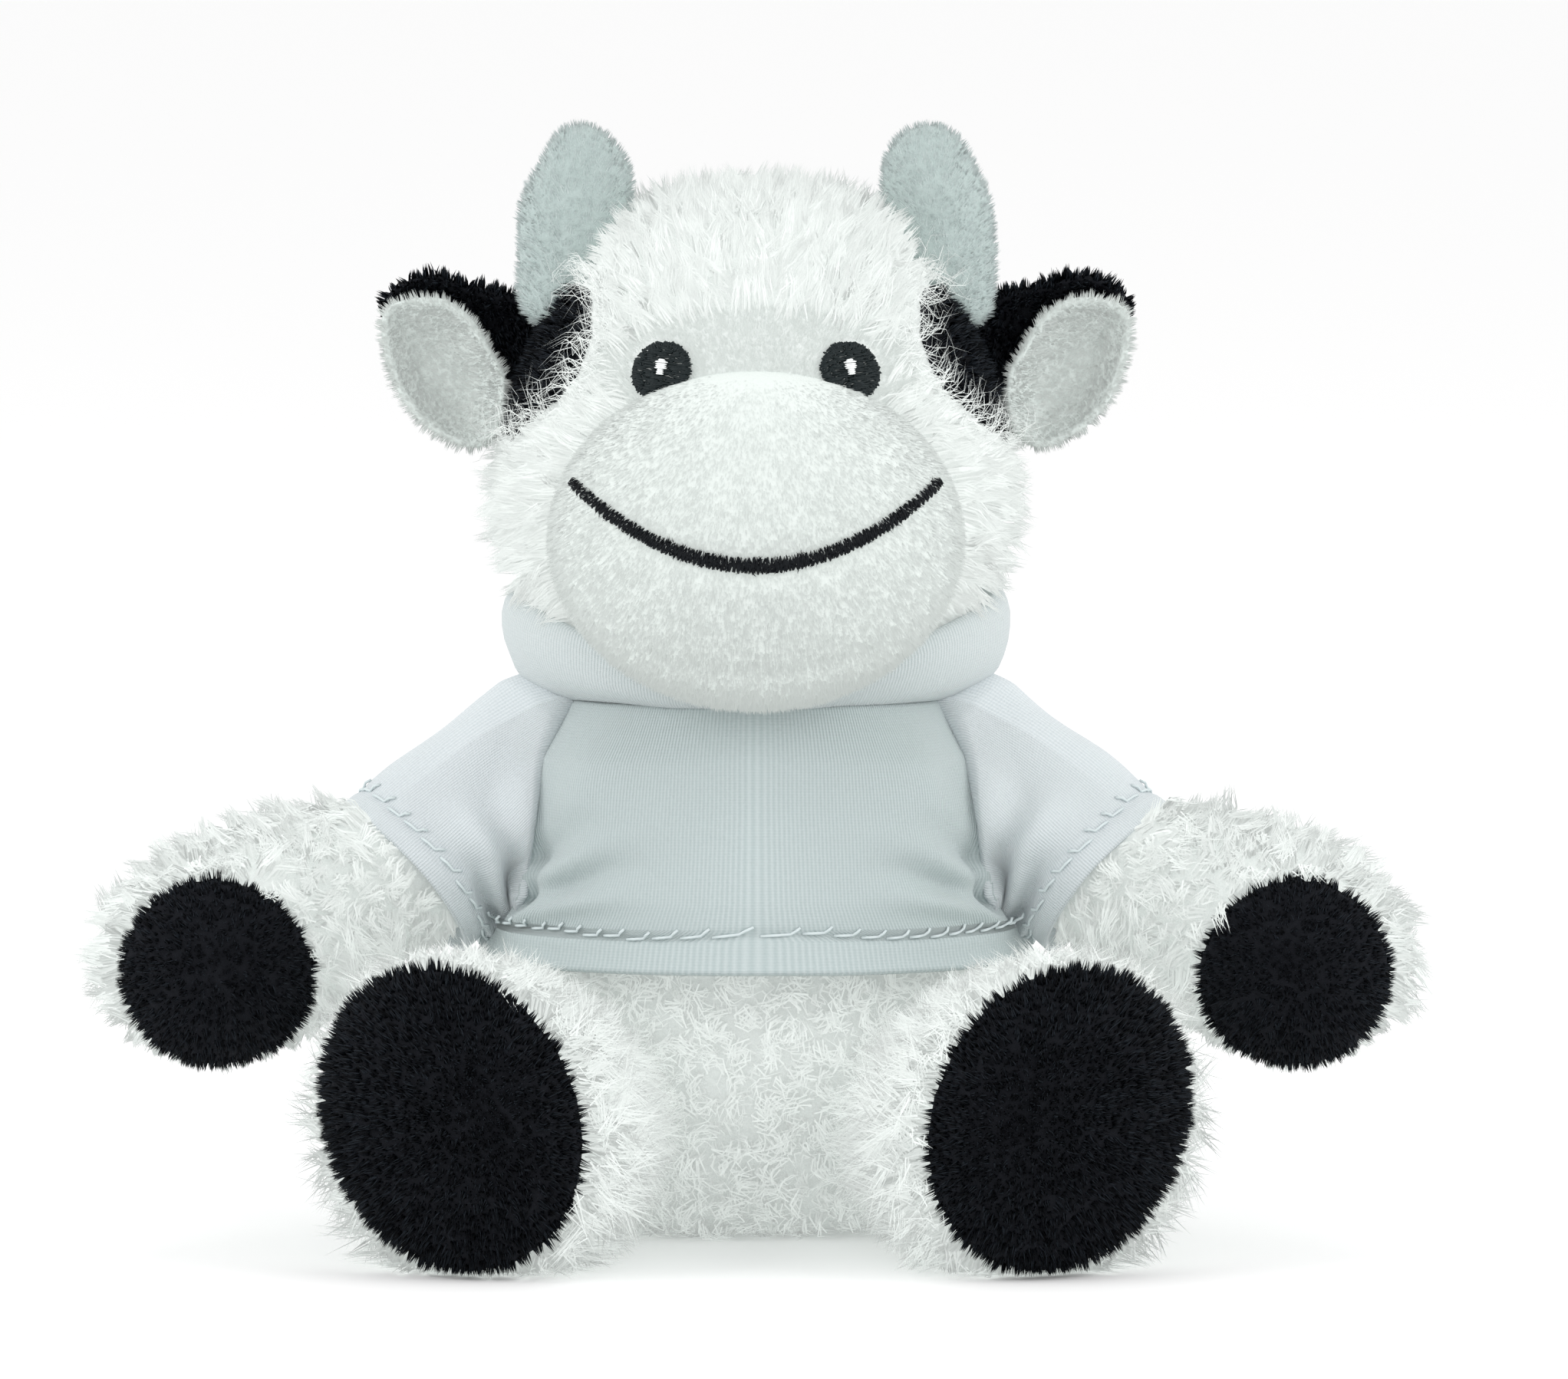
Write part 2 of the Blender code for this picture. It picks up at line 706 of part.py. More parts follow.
def build_arms():
    for name, sign in sides:
        at = shoulder_at(sign)
        axis = empty(f"shoulder_axis_{name}", at, torso_axis)
        ahead = arm_direction(sign)
        placed = frame_along(at, ahead)
        beside = swept_body(f"arm_side_{name}", at, Vector((0, -sign, 0)), arm_lift, sleeve_radius)
        turning_hole = oval_punch(
            f"arm_turning_hole_{name}",
            frame_along(at, -ahead),
            turning_hole_width,
            turning_hole_width,
            sleeve_radius,
        )
        skin = arm_form(f"arm_skin_{name}", sign, 0, long_pile)
        hollow = arm_form(f"arm_hollow_{name}", sign, -skin_wall, filling=True)
        cut(skin, hollow, turning_hole, beside)
        filling = arm_form(f"arm_stuffing_{name}", sign, -skin_wall - seat_gap, stuffing, filling=True)
        cut(filling, beside)
        hang(skin, axis)
        hang(filling, axis)

        paw = at + ahead * paw_reach
        palm = Vector((0, -math.cos(hand_pad_tilt), -math.sin(hand_pad_tilt)))
        outline = oval_punch(
            f"hand_pad_outline_{name}",
            frame_along(paw, palm),
            hand_pad_width,
            hand_pad_width,
            paw_width,
        )
        pad = arm_form(f"hand_pad_{name}", sign, seat_gap + pad_wall, black_plush)
        keep_inside(pad, outline)
        cut(pad, arm_form(f"hand_pad_floor_{name}", sign, seat_gap))
        hang(pad, axis)

        wall = cloth_wall
        slope = (sleeve_radius - cuff_radius) / sleeve_length
        rings = []
        for share in sleeve_ring_shares:
            place = share * sleeve_length
            round_radius = math.sqrt(sleeve_radius**2 - min(place, 0) ** 2)
            radius = round_radius - max(place, 0) * slope
            rings.append((place, radius, radius, 0))
        bm = cage(rings, limb_sides, capped=False)
        bmesh.ops.transform(bm, matrix=placed, verts=bm.verts)
        sleeve = smooth(add_object(f"sleeve_{name}", bm, jersey, at))
        shell = sleeve.modifiers.new("wall", "SOLIDIFY")
        shell.thickness = wall
        shell.offset = -1
        raglan = Vector((-sign * math.cos(raglan_tilt), 0, -math.sin(raglan_tilt)))
        inner_side = oval_punch(
            f"raglan_cut_{name}",
            frame_along(at + raglan * raglan_inset, raglan),
            sleeve_radius * 4,
            sleeve_radius * 4,
            sleeve_radius * 2,
        )
        cut(sleeve, inner_side, beside)
        hang(sleeve, axis)


def leg_form(name, sign, swell, material=None, filling=False):
    """A ball in the hip, a short thigh and a foot with a broad sole."""
    at = hip_at(sign)
    rings = limb_rings(hip_radius, leg_length, foot_width, foot_height, leg_ring_shares, swell)
    placed = frame_along(at, foot_direction(sign))
    return soft_object(name, rings, limb_sides, placed, material, at if material else Vector(), filling)


def build_legs():
    for name, sign in sides:
        at = hip_at(sign)
        axis = empty(f"hip_axis_{name}", at, torso_axis)
        ahead = foot_direction(sign)
        turning_hole = oval_punch(
            f"leg_turning_hole_{name}",
            frame_along(at, -ahead),
            turning_hole_width,
            turning_hole_width,
            hip_radius + skin_wall,
        )
        skin = leg_form(f"leg_skin_{name}", sign, 0, long_pile)
        hollow = leg_form(f"leg_hollow_{name}", sign, -skin_wall, filling=True)
        beside = swept_body(f"leg_side_{name}", at, Vector((-1, 0, 0)), leg_lift, hip_radius)
        cut(skin, hollow, turning_hole, under_floor, beside)
        filling = leg_form(f"leg_stuffing_{name}", sign, -skin_wall - seat_gap, stuffing, filling=True)
        outline = oval_punch(
            f"foot_pad_outline_{name}",
            frame_along(at + ahead * leg_length * sole_share, ahead),
            foot_pad_width,
            foot_pad_height,
            leg_length,
        )
        pad = leg_form(f"foot_pad_{name}", sign, seat_gap + pad_wall, black_plush)
        keep_inside(pad, outline)
        cut(pad, leg_form(f"foot_pad_floor_{name}", sign, seat_gap), under_floor)
        cut(filling, beside)
        for piece in (skin, filling, pad):
            hang(piece, axis)


def tail_form(name, placed, swell, material=None, at=Vector()):
    rings = limb_rings(tail_root_radius, tail_length, tail_width, tail_width, tail_ring_shares, swell)
    return soft_object(name, rings, limb_sides, placed, material, at, False)


def build_tail():
    """A stuffed cord with a tuft pulled over its end."""
    axis = empty("tail_axis", tail_at, torso_axis)
    back = Vector((0, math.cos(tail_droop), -math.sin(tail_droop)))
    placed = frame_along(tail_at, back)
    hang(tail_form("tail", placed, 0, short_pile, tail_at), axis)
    rings = swollen_rings(tuft_length, tuft_width, tuft_width, tuft_ring_shares, 0)
    start = frame_along(tail_at + back * tuft_start, back)
    tuft = soft_object("tail_tuft", rings, limb_sides, start, black_plush, tail_at, False)
    cut(tuft, tail_form("tail_seat", placed, seat_gap))
    hang(tuft, axis)


def build_top():
    """The jersey's front and back panels follow the torso, with a hem thread on each."""
    inner = torso_form("jersey_inside", seat_gap)
    below = block(
        "below_hem",
        (-torso_width, -torso_depth, -torso_height),
        (torso_width, torso_depth, hem_height),
    )
    above = block(
        "above_neckline",
        (-torso_width, -torso_depth, neckline_height),
        (torso_width, torso_depth, neckline_height + torso_height),
    )
    thread_inner = torso_form("hem_thread_inside", 2 * seat_gap + cloth_wall)
    for name, facing in (("front", -1), ("back", 1)):
        seam = facing * seat_gap / 2
        ends = sorted((seam, -facing * torso_depth * 2))
        other = block(
            f"behind_{name}",
            (-torso_width, ends[0], -torso_height),
            (torso_width, ends[1], torso_height * 2),
        )
        panel = torso_form(f"hoodie_{name}", seat_gap + cloth_wall, jersey)
        cut(panel, *shoulder_sockets.values(), inner, below, above, other)
        hang(panel, torso_axis)
        low = hem_height + hem_stitch_height
        strip_ends = sorted((0, facing * torso_depth))
        strip = block(
            f"hem_thread_strip_{name}",
            (-hem_stitch_reach / 2, strip_ends[0], low),
            (hem_stitch_reach / 2, strip_ends[1], low + thread_wall),
        )
        thread = torso_form(f"hem_thread_{name}", 2 * seat_gap + cloth_wall + thread_wall, white_thread)
        keep_inside(thread, strip)
        cut(thread, thread_inner)
        hang(thread, torso_axis)


def hood_section(turn):
    """The hood's section at an angle from the front: one loop of points, out from the middle and up."""
    front = (1 + math.cos(turn)) / 2
    raised = hood_front_share + (1 - hood_front_share) * (1 - front**2)
    behind = max(0, -math.cos(turn)) ** 2
    rim = hood_front_rim_height + (hood_rim_height - hood_front_rim_height) * (1 - front**2)
    rim += (hood_back_rim_height - hood_rim_height) * behind
    seam_out = math.hypot(math.sin(turn) * hood_seam_width, math.cos(turn) * hood_seam_depth) / 2
    full_out = math.hypot(math.sin(turn) * hood_width, math.cos(turn) * hood_depth) / 2
    span = (full_out - seam_out) * raised
    drop = hood_drop * behind
    fold = hood_fold * behind
    outside = [
        (seam_out + span * out_share + fold * fold_share, rim * up_share - drop * drop_share)
        for out_share, up_share, fold_share, drop_share in hood_outside_shares
    ]
    inside = [
        (seam_out + span * out_share - cloth_wall * in_share, rim * up_share + cloth_wall * lift_share)
        for out_share, up_share, in_share, lift_share in hood_inside_shares
    ]
    return [(out, neckline_height + seat_gap + up) for out, up in outside + inside]


def build_hood():
    """A cowl round the head's base that falls behind as a folded hood, in two halves sewn in the middle."""
    swing = [
        ball(f"arm_swing_{name}", shoulder_at(sign), sleeve_radius + arm_swing_clearance)
        for name, sign in sides
    ]
    for name, sign in sides:
        bm = bmesh.new()
        loops = []
        half = hood_stations // 2
        for step in range(half + 1):
            turn = math.pi * step / half
            ring = []
            for out, height in hood_section(turn):
                reach = Vector((math.sin(turn) * sign, -math.cos(turn), 0)) * out
                place = reach + Vector((sign * seat_gap / 2, 0, height))
                ring.append(bm.verts.new(place))
            loops.append([bm.edges.new(pair) for pair in zip(ring, ring[1:] + ring[:1])])
        for first, second in zip(loops, loops[1:]):
            bmesh.ops.bridge_loops(bm, edges=first + second)
        for loop in (loops[0], loops[-1]):
            bmesh.ops.edgeloop_fill(bm, edges=loop)
        hood = add_object(f"hood_{name}", bm, jersey)
        cut(hood, *swing)
        cut(hood, torso_form(f"hood_back_seat_{name}", 2 * seat_gap + cloth_wall))
        hang(hood, torso_axis)


build_torso()
build_neck()
build_head()
build_muzzle()
build_mouth()
build_eyes()
build_side_patches()
build_horns()
build_ears()
build_arms()
build_legs()
build_tail()
build_top()
build_hood()
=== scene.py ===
# Seated plush cow in a hooded jersey top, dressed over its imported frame.
# The cow faces -Y, its own left hand is at +X, and it sits on the floor at Z = 0.

import math

import bmesh
import bpy
import numpy as np
from mathutils import Matrix, Vector, kdtree, noise


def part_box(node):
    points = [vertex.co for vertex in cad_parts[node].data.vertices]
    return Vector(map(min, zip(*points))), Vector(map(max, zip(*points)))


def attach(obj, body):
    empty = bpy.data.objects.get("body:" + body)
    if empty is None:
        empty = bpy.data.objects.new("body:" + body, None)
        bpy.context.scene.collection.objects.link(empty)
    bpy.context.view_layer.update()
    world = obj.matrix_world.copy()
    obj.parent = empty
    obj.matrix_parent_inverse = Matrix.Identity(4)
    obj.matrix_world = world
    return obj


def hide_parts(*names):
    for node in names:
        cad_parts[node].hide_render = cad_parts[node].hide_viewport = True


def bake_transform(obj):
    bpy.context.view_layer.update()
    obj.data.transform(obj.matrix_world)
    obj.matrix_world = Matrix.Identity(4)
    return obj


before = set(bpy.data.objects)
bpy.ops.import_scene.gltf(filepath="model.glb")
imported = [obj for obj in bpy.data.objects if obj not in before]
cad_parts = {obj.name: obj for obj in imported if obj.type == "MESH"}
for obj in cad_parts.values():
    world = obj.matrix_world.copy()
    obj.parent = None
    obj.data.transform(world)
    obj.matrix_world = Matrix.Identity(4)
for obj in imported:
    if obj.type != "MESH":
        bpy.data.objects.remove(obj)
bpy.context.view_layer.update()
sides = (("left", 1), ("right", -1))

# Studio
# A long lens looks at the toy from a little above its middle. The toy sits on a pale floor
# in even white light, with a broad lamp at each side of the lens.
camera_height_angle = math.radians(5.5)
camera_distance = 1.892
camera_lens = 300
camera_aim = Vector((0.00406, -0.020, 0.0801))
camera_data = bpy.data.cameras.new("studio_camera")
camera_data.lens = camera_lens
camera_data.sensor_width = 36
camera = bpy.data.objects.new("studio_camera", camera_data)
camera.location = camera_aim + camera_distance * Vector(
    (0, -math.cos(camera_height_angle), math.sin(camera_height_angle))
)
camera.rotation_euler = (math.pi / 2 - camera_height_angle, 0, 0)
bpy.context.scene.collection.objects.link(camera)
bpy.context.scene.camera = camera
bpy.context.scene.view_settings.view_transform = "Standard"

sky_strength = 0.95
world = bpy.data.worlds.new("studio_light")
world.use_nodes = True
sky = world.node_tree.nodes["Background"]
sky.inputs["Color"].default_value = (1, 1, 1, 1)
sky.inputs["Strength"].default_value = sky_strength
backdrop = world.node_tree.nodes.new("ShaderNodeBackground")
backdrop.inputs["Color"].default_value = (1, 1, 1, 1)
seen = world.node_tree.nodes.new("ShaderNodeLightPath")
chosen = world.node_tree.nodes.new("ShaderNodeMixShader")
for output, socket in (
    (seen.outputs["Is Camera Ray"], chosen.inputs[0]),
    (sky.outputs[0], chosen.inputs[1]),
    (backdrop.outputs[0], chosen.inputs[2]),
    (chosen.outputs[0], world.node_tree.nodes["World Output"].inputs["Surface"]),
):
    world.node_tree.links.new(output, socket)
bpy.context.scene.world = world

lamp_aside, lamp_forward, lamp_height = 0.95, 0.35, 0.65
lamp_size, lamp_power = 0.8, 4.5
for name, side in (("left_lamp", -1), ("right_lamp", 1)):
    lamp_data = bpy.data.lights.new(name, "AREA")
    lamp_data.shape = "DISK"
    lamp_data.size = lamp_size
    lamp_data.energy = lamp_power
    lamp = bpy.data.objects.new(name, lamp_data)
    lamp.location = (side * lamp_aside, -lamp_forward, lamp_height)
    lamp.rotation_euler = (camera_aim - lamp.location).to_track_quat("-Z", "Y").to_euler()
    bpy.context.scene.collection.objects.link(lamp)

floor_size = 6.0
floor_mesh = bmesh.new()
bmesh.ops.create_grid(floor_mesh, x_segments=1, y_segments=1, size=floor_size)
floor_data = bpy.data.meshes.new("studio_floor")
floor_mesh.to_mesh(floor_data)
floor = bpy.data.objects.new("studio_floor", floor_data)
bpy.context.scene.collection.objects.link(floor)
floor_paint = bpy.data.materials.new("pale_floor")
floor_paint.use_nodes = True
floor_grey, floor_roughness, floor_lift = 0.95, 0.9, 0.06
for socket, value in (
    ("Base Color", (floor_grey, floor_grey, floor_grey, 1)), ("Roughness", floor_roughness),
    ("Emission Color", (1, 1, 1, 1)), ("Emission Strength", floor_lift),
):
    floor_paint.node_tree.nodes["Principled BSDF"].inputs[socket].default_value = value
floor_data.materials.append(floor_paint)


# Body
# The body is a sewn bag of white pile fabric, stuffed with polyester fibre and sat flat on the floor.
# A loft of rings gives the stuffed form, and single closed fibres gathered in tufts make the pile.
class Value:
    """A shader socket that Python arithmetic works on."""

    def __init__(self, look, socket):
        self.look = look
        self.socket = socket

    def math(self, operation, first, second):
        return self.look.add("ShaderNodeMath", {"operation": operation}, {0: first, 1: second})

    def __add__(self, other):
        return self.math("ADD", self, other)

    def __mul__(self, other):
        return self.math("MULTIPLY", self, other)

    def __truediv__(self, other):
        return self.math("DIVIDE", self, other)

    __radd__ = __add__
    __rmul__ = __mul__

    def sine(self):
        return self.math("SINE", self, 0.0)


class Look:
    """A material built round one Principled shader."""

    def __init__(self, name, roughness, colour=None, **fixed):
        self.material = bpy.data.materials.new(name)
        self.material.use_nodes = True
        self.tree = self.material.node_tree
        self.shader = self.tree.nodes["Principled BSDF"]
        self.set("Roughness", roughness)
        if colour:
            self.set("Base Color", (*colour, 1))
        for socket, value in fixed.items():
            self.set(socket.replace("_", " "), value)

    def set(self, socket, value):
        self.feed(self.shader.inputs[socket], value)

    def feed(self, socket, value):
        if isinstance(value, Value):
            self.tree.links.new(value.socket, socket)
        else:
            socket.default_value = value

    def add(self, kind, settings=None, sockets=None, out=0):
        node = self.tree.nodes.new(kind)
        for key, value in (settings or {}).items():
            setattr(node, key, value)
        for key, value in (sockets or {}).items():
            self.feed(node.inputs[key], value)
        return Value(self, node.outputs[out])

    def place(self):
        return self.add("ShaderNodeTexCoord", out="Object")

    def noise(self, scale, detail, where=None):
        sockets = {"Vector": where or self.place(), "Scale": scale, "Detail": detail}
        return self.add("ShaderNodeTexNoise", None, sockets, "Fac")

    def blend(self, share, first, second):
        """A Mix node, whose colour sockets are its inputs 6 and 7 and its output 2."""
        sockets = {0: share, 6: (*first, 1), 7: (*second, 1)}
        return self.add("ShaderNodeMix", {"data_type": "RGBA"}, sockets, 2)

    def bump(self, height, distance):
        sockets = {"Height": height, "Distance": distance, "Strength": 1.0}
        self.set("Normal", self.add("ShaderNodeBump", None, sockets, "Normal"))


def backing_look(name, thick, thin, tuft_size, **fixed):
    """The knitted backing of a pile fabric and the roots that stand on it."""
    look = Look(name, 0.95, **fixed)
    roots = look.noise(1 / tuft_size, 4.0)
    look.set("Base Color", look.blend(roots, thin, thick))
    look.bump(roots, tuft_size * 0.3)
    return look.material


def new_piece(name, bm, *materials):
    """Turns a bmesh drawn in place into a smooth-shaded object at the origin."""
    bmesh.ops.recalc_face_normals(bm, faces=bm.faces)
    mesh = bpy.data.meshes.new(name)
    bm.to_mesh(mesh)
    bm.free()
    mesh.shade_smooth()
    piece = bpy.data.objects.new(name, mesh)
    for material in materials:
        mesh.materials.append(material)
    bpy.context.scene.collection.objects.link(piece)
    return piece


def applied(piece):
    """Bakes a piece's modifiers into its mesh."""
    graph = bpy.context.evaluated_depsgraph_get()
    mesh = bpy.data.meshes.new_from_object(piece.evaluated_get(graph))
    piece.modifiers.clear()
    piece.data = mesh
    return piece


def softened(piece, levels):
    modifier = piece.modifiers.new("soft", "SUBSURF")
    modifier.levels = levels
    modifier.render_levels = levels
    return applied(piece)


def oval_rings(shares, length, width, depth, proud=0.0):
    """Rings from shares of a form's length, width and depth, all of them proud by a little."""
    return [(length * up, width * wide / 2 + proud, depth * deep / 2 + proud) for up, wide, deep in shares]


def round_rings(shares, length, radius):
    return [(length * up, radius * wide, radius * wide) for up, wide in shares]


def loft(name, rings, sides_count, placed, levels, *materials):
    """A closed form through oval rings, each a height and two radii, along a frame's Z."""
    bm = bmesh.new()
    loops = []
    for height, wide, deep in rings:
        before = len(bm.edges)
        ring = bmesh.ops.create_circle(bm, segments=sides_count, radius=1)["verts"]
        bmesh.ops.scale(bm, vec=(wide, deep, 1), verts=ring)
        bmesh.ops.translate(bm, vec=(0, 0, height), verts=ring)
        bm.edges.ensure_lookup_table()
        loops.append(list(bm.edges[before:]))
    for lower, upper in zip(loops, loops[1:]):
        bmesh.ops.bridge_loops(bm, edges=lower + upper)
    for loop in (loops[0], loops[-1]):
        bmesh.ops.edgeloop_fill(bm, edges=loop)
    bmesh.ops.transform(bm, matrix=placed, verts=bm.verts)
    return softened(new_piece(name, bm, *materials), levels)


def lumped(piece, size, height):
    """Uneven stuffing: the surface rises and falls over patches of the given size."""
    for vert in piece.data.vertices:
        vert.co += vert.normal * height * noise.noise(vert.co / size)
    return piece


def sat_on_floor(piece):
    for vert in piece.data.vertices:
        vert.co.z = max(vert.co.z, 0)
    return piece


def sewn_to(carrier, slot, *pieces):
    """The pieces move with a body of the frame. The slot is not used."""
    for piece in pieces:
        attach(piece, carrier)


def unit(vectors):
    return vectors / np.linalg.norm(vectors, axis=1, keepdims=True).clip(1e-9)


def surface_samples(base, count, keep, rng):
    """Random points on a mesh with their normals, thinned by a function of place and normal."""
    mesh = base.data
    mesh.calc_loop_triangles()
    corners = np.empty(len(mesh.loop_triangles) * 3, np.int32)
    mesh.loop_triangles.foreach_get("vertices", corners)
    corners = corners.reshape(-1, 3)
    places = np.empty(len(mesh.vertices) * 3)
    mesh.vertices.foreach_get("co", places)
    places = places.reshape(-1, 3)[corners]
    facing = np.empty(len(mesh.vertices) * 3, np.float32)
    mesh.vertex_normals.foreach_get("vector", facing)
    facing = facing.reshape(-1, 3)[corners]
    areas = np.linalg.norm(np.cross(places[:, 1] - places[:, 0], places[:, 2] - places[:, 0]), axis=1)
    roots, normals = np.empty((0, 3)), np.empty((0, 3))
    while len(roots) < count:
        picked = rng.choice(len(areas), count, p=areas / areas.sum())
        shares = rng.dirichlet((1, 1, 1), count)[:, :, None]
        points = (places[picked] * shares).sum(axis=1)
        outward = unit((facing[picked] * shares).sum(axis=1))
        kept = rng.random(count) < keep(points, outward)
        roots = np.concatenate((roots, points[kept]))
        normals = np.concatenate((normals, outward[kept]))
    return roots[:count], normals[:count]


def fibre_mesh(name, spine, side_a, side_b, radii, materials, rng, facing):
    """Closed three-sided fibres. spine holds each fibre's stations, the last of them its tip."""
    count, stations = spine.shape[:2]
    rings = stations - 1
    corners = [(math.cos(turn), math.sin(turn)) for turn in (0, 2 * math.pi / 3, 4 * math.pi / 3)]
    points = np.empty((count, rings * 3 + 1, 3))
    for station in range(rings):
        for corner, (across, up) in enumerate(corners):
            out = (side_a * across + side_b * up) * radii[station]
            points[:, station * 3 + corner] = spine[:, station] + out
    points[:, -1] = spine[:, -1]
    faces = [(2, 1, 0)]
    for station in range(rings - 1):
        low = station * 3
        for corner in range(3):
            after = (corner + 1) % 3
            faces.append((low + corner, low + after, low + 3 + after, low + 3 + corner))
    last = (rings - 1) * 3
    for corner in range(3):
        faces.append((last + corner, last + (corner + 1) % 3, rings * 3))
    sizes = np.array([len(face) for face in faces], np.int32)
    pattern = np.concatenate([np.array(face, np.int32) for face in faces])
    shifts = (np.arange(count, dtype=np.int32) * (rings * 3 + 1))[:, None]
    mesh = bpy.data.meshes.new(name)
    mesh.vertices.add(points.shape[0] * points.shape[1])
    mesh.vertices.foreach_set("co", points.astype(np.float32).ravel())
    mesh.loops.add(count * len(pattern))
    mesh.loops.foreach_set("vertex_index", (pattern[None, :] + shifts).ravel())
    mesh.polygons.add(count * len(faces))
    totals = np.tile(sizes, count)
    mesh.polygons.foreach_set("loop_start", np.concatenate(([0], np.cumsum(totals)[:-1])).astype(np.int32))
    mesh.polygons.foreach_set("loop_total", totals)
    shades = rng.integers(0, len(materials), count).astype(np.int32)
    mesh.polygons.foreach_set("material_index", np.repeat(shades, len(faces)))
    mesh.update(calc_edges=True)
    mesh.shade_smooth()
    if facing is not None:
        mesh.normals_split_custom_set_from_vertices(np.repeat(facing, rings * 3 + 1, axis=0))
    for material in materials:
        mesh.materials.append(material)
    piece = bpy.data.objects.new(name, mesh)
    piece.visible_shadow = facing is None
    bpy.context.scene.collection.objects.link(piece)
    return piece


def everywhere(points, normals):
    return np.ones(len(points))


def leaning(*way):
    """Pile that leans one way all over."""
    def lean(points, normals):
        return np.zeros_like(points) + way
    return lean


def plant_pile(name, base, count, length, width, materials, seed,
               keep=everywhere, lean=leaning(0, 0, 0), trim=everywhere, spread=0.3, tuft=12, pull=0.5,
               curl=0.0, droop=0.0, bends=(0.36, 0.72), sunk=0.0006, silky=True):
    """Fibres rooted all over a form. They lean together in tufts whose tips meet. A silky pile is so
    pale that light comes through it: it is lit as the surface under it would be and casts no shadow."""
    rng = np.random.default_rng(seed)
    count = count
    roots, normals = surface_samples(base, count, keep, rng)
    tufts = max(1, count // tuft)
    tree = kdtree.KDTree(tufts)
    for index in range(tufts):
        tree.insert(roots[index], index)
    tree.balance()
    owner = np.array([tree.find(root)[1] for root in roots])
    standing = unit(normals + lean(roots, normals))
    tuft_aim = unit(standing[:tufts] + rng.normal(0, spread, (tufts, 3)))
    aim = unit(standing + rng.normal(0, spread, (count, 3)) * (1 - pull) + tuft_aim[owner] * pull * 2)
    reach = rng.uniform(*length, tufts)[owner] * rng.uniform(0.75, 1.1, count)
    reach = (reach * trim(roots, normals))[:, None]
    meet = roots[owner] + tuft_aim[owner] * reach - roots - aim * reach
    side_a = unit(np.cross(aim, rng.normal(0, 1, (count, 3))))
    side_b = np.cross(aim, side_a)
    curl_a = unit(np.cross(aim, tuft_aim[owner] + np.array((0.3, 0.2, 0.5))))
    curl_b = np.cross(aim, curl_a)
    phase = (rng.uniform(0, 2 * math.pi, tufts)[owner] + rng.normal(0, 0.5, count))[:, None]
    stations = (0.0, *bends, 1.0)
    spine = np.empty((count, len(stations), 3))
    for index, along in enumerate(stations):
        place = roots + aim * reach * along + meet * pull * along**1.5
        turn = phase + 4.2 * along
        place += (np.cos(turn) * curl_a + np.sin(turn) * curl_b) * reach * curl * along
        place[:, 2] -= reach[:, 0] * droop * along**2
        spine[:, index] = place
    spine[:, 0] = roots - normals * sunk
    half = width / 2
    radii = [half * (1 - 0.75 * along**1.5) for along in stations[:-1]]
    lowest = rng.uniform(0.0002, 0.0008, count)[:, None]
    spine[:, :, 2] = np.maximum(spine[:, :, 2], lowest)
    facing = unit(normals + aim * 0.2) if silky else None
    return fibre_mesh(name, spine, side_a, side_b, radii, materials, rng, facing)


def pile_shades(name, colours, roughness=0.9, **fixed):
    """A few fixed shades of one fibre, shared out at random."""
    return [
        Look(f"{name}_{index}", roughness, colour, **fixed).material for index, colour in enumerate(colours)
    ]


# Painted light: the white piles and their backings glow faintly, a painted brightness on top of what the
# lamps give. The long pile's backing glows less than its fibres, so the gaps between the tufts are painted
# darker: painted shade.
painted_glow = {"Emission_Color": (0.92, 0.97, 0.94, 1), "Specular_IOR_Level": 0.3}
long_backing = backing_look("white_backing", thick=(0.66, 0.69, 0.675), thin=(0.56, 0.59, 0.58),
                            tuft_size=0.0012, Emission_Strength=0.18, **painted_glow)
long_shades = ((0.62, 0.65, 0.635), (0.60, 0.63, 0.615), (0.64, 0.67, 0.655))
long_pile = pile_shades("white_pile", long_shades, Emission_Strength=0.33, **painted_glow)

body_width, body_depth, body_height, body_base = 0.0730, 0.0590, 0.0805, -0.0005
body_ring_shares = (
    (0.00, 0.62, 0.62), (0.05, 0.88, 0.88), (0.22, 1.02, 1.02), (0.45, 1.00, 1.00),
    (0.66, 0.93, 0.92), (0.84, 0.81, 0.80), (0.95, 0.62, 0.60), (1.00, 0.34, 0.34),
)
body_rings = oval_rings(body_ring_shares, body_height, body_width, body_depth)
body = loft("body_plush", body_rings, 16, Matrix.Translation((0, 0, body_base)), 3, long_backing)
sat_on_floor(lumped(body, size=0.018, height=0.0012))
hem_height, under_hem, floor_gap = 0.041, 0.004, 0.0012


def below_hem(points, normals):
    return ((points[:, 2] < hem_height + under_hem) & (points[:, 2] > floor_gap)).astype(float)


for name, seed, facing in (("front", 11, -1), ("back", 12, 1)):
    def on_this_half(points, normals):
        return below_hem(points, normals) * (points[:, 1] * facing > 0)

    pile = plant_pile(f"body_pile_{name}", body, count=7500, length=(0.0032, 0.0046), width=0.00036,
                      materials=long_pile, seed=seed, keep=on_this_half, lean=leaning(0, 0, -0.25),
                      spread=0.75, tuft=8, pull=0.55, curl=0.55,
                      bends=(0.36, 0.72) if name == "front" else (0.5,))
    sewn_to("torso", "white_long_pile", pile)
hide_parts("torso_skin", "torso_stuffing")
sewn_to("torso", "white_long_pile", body)

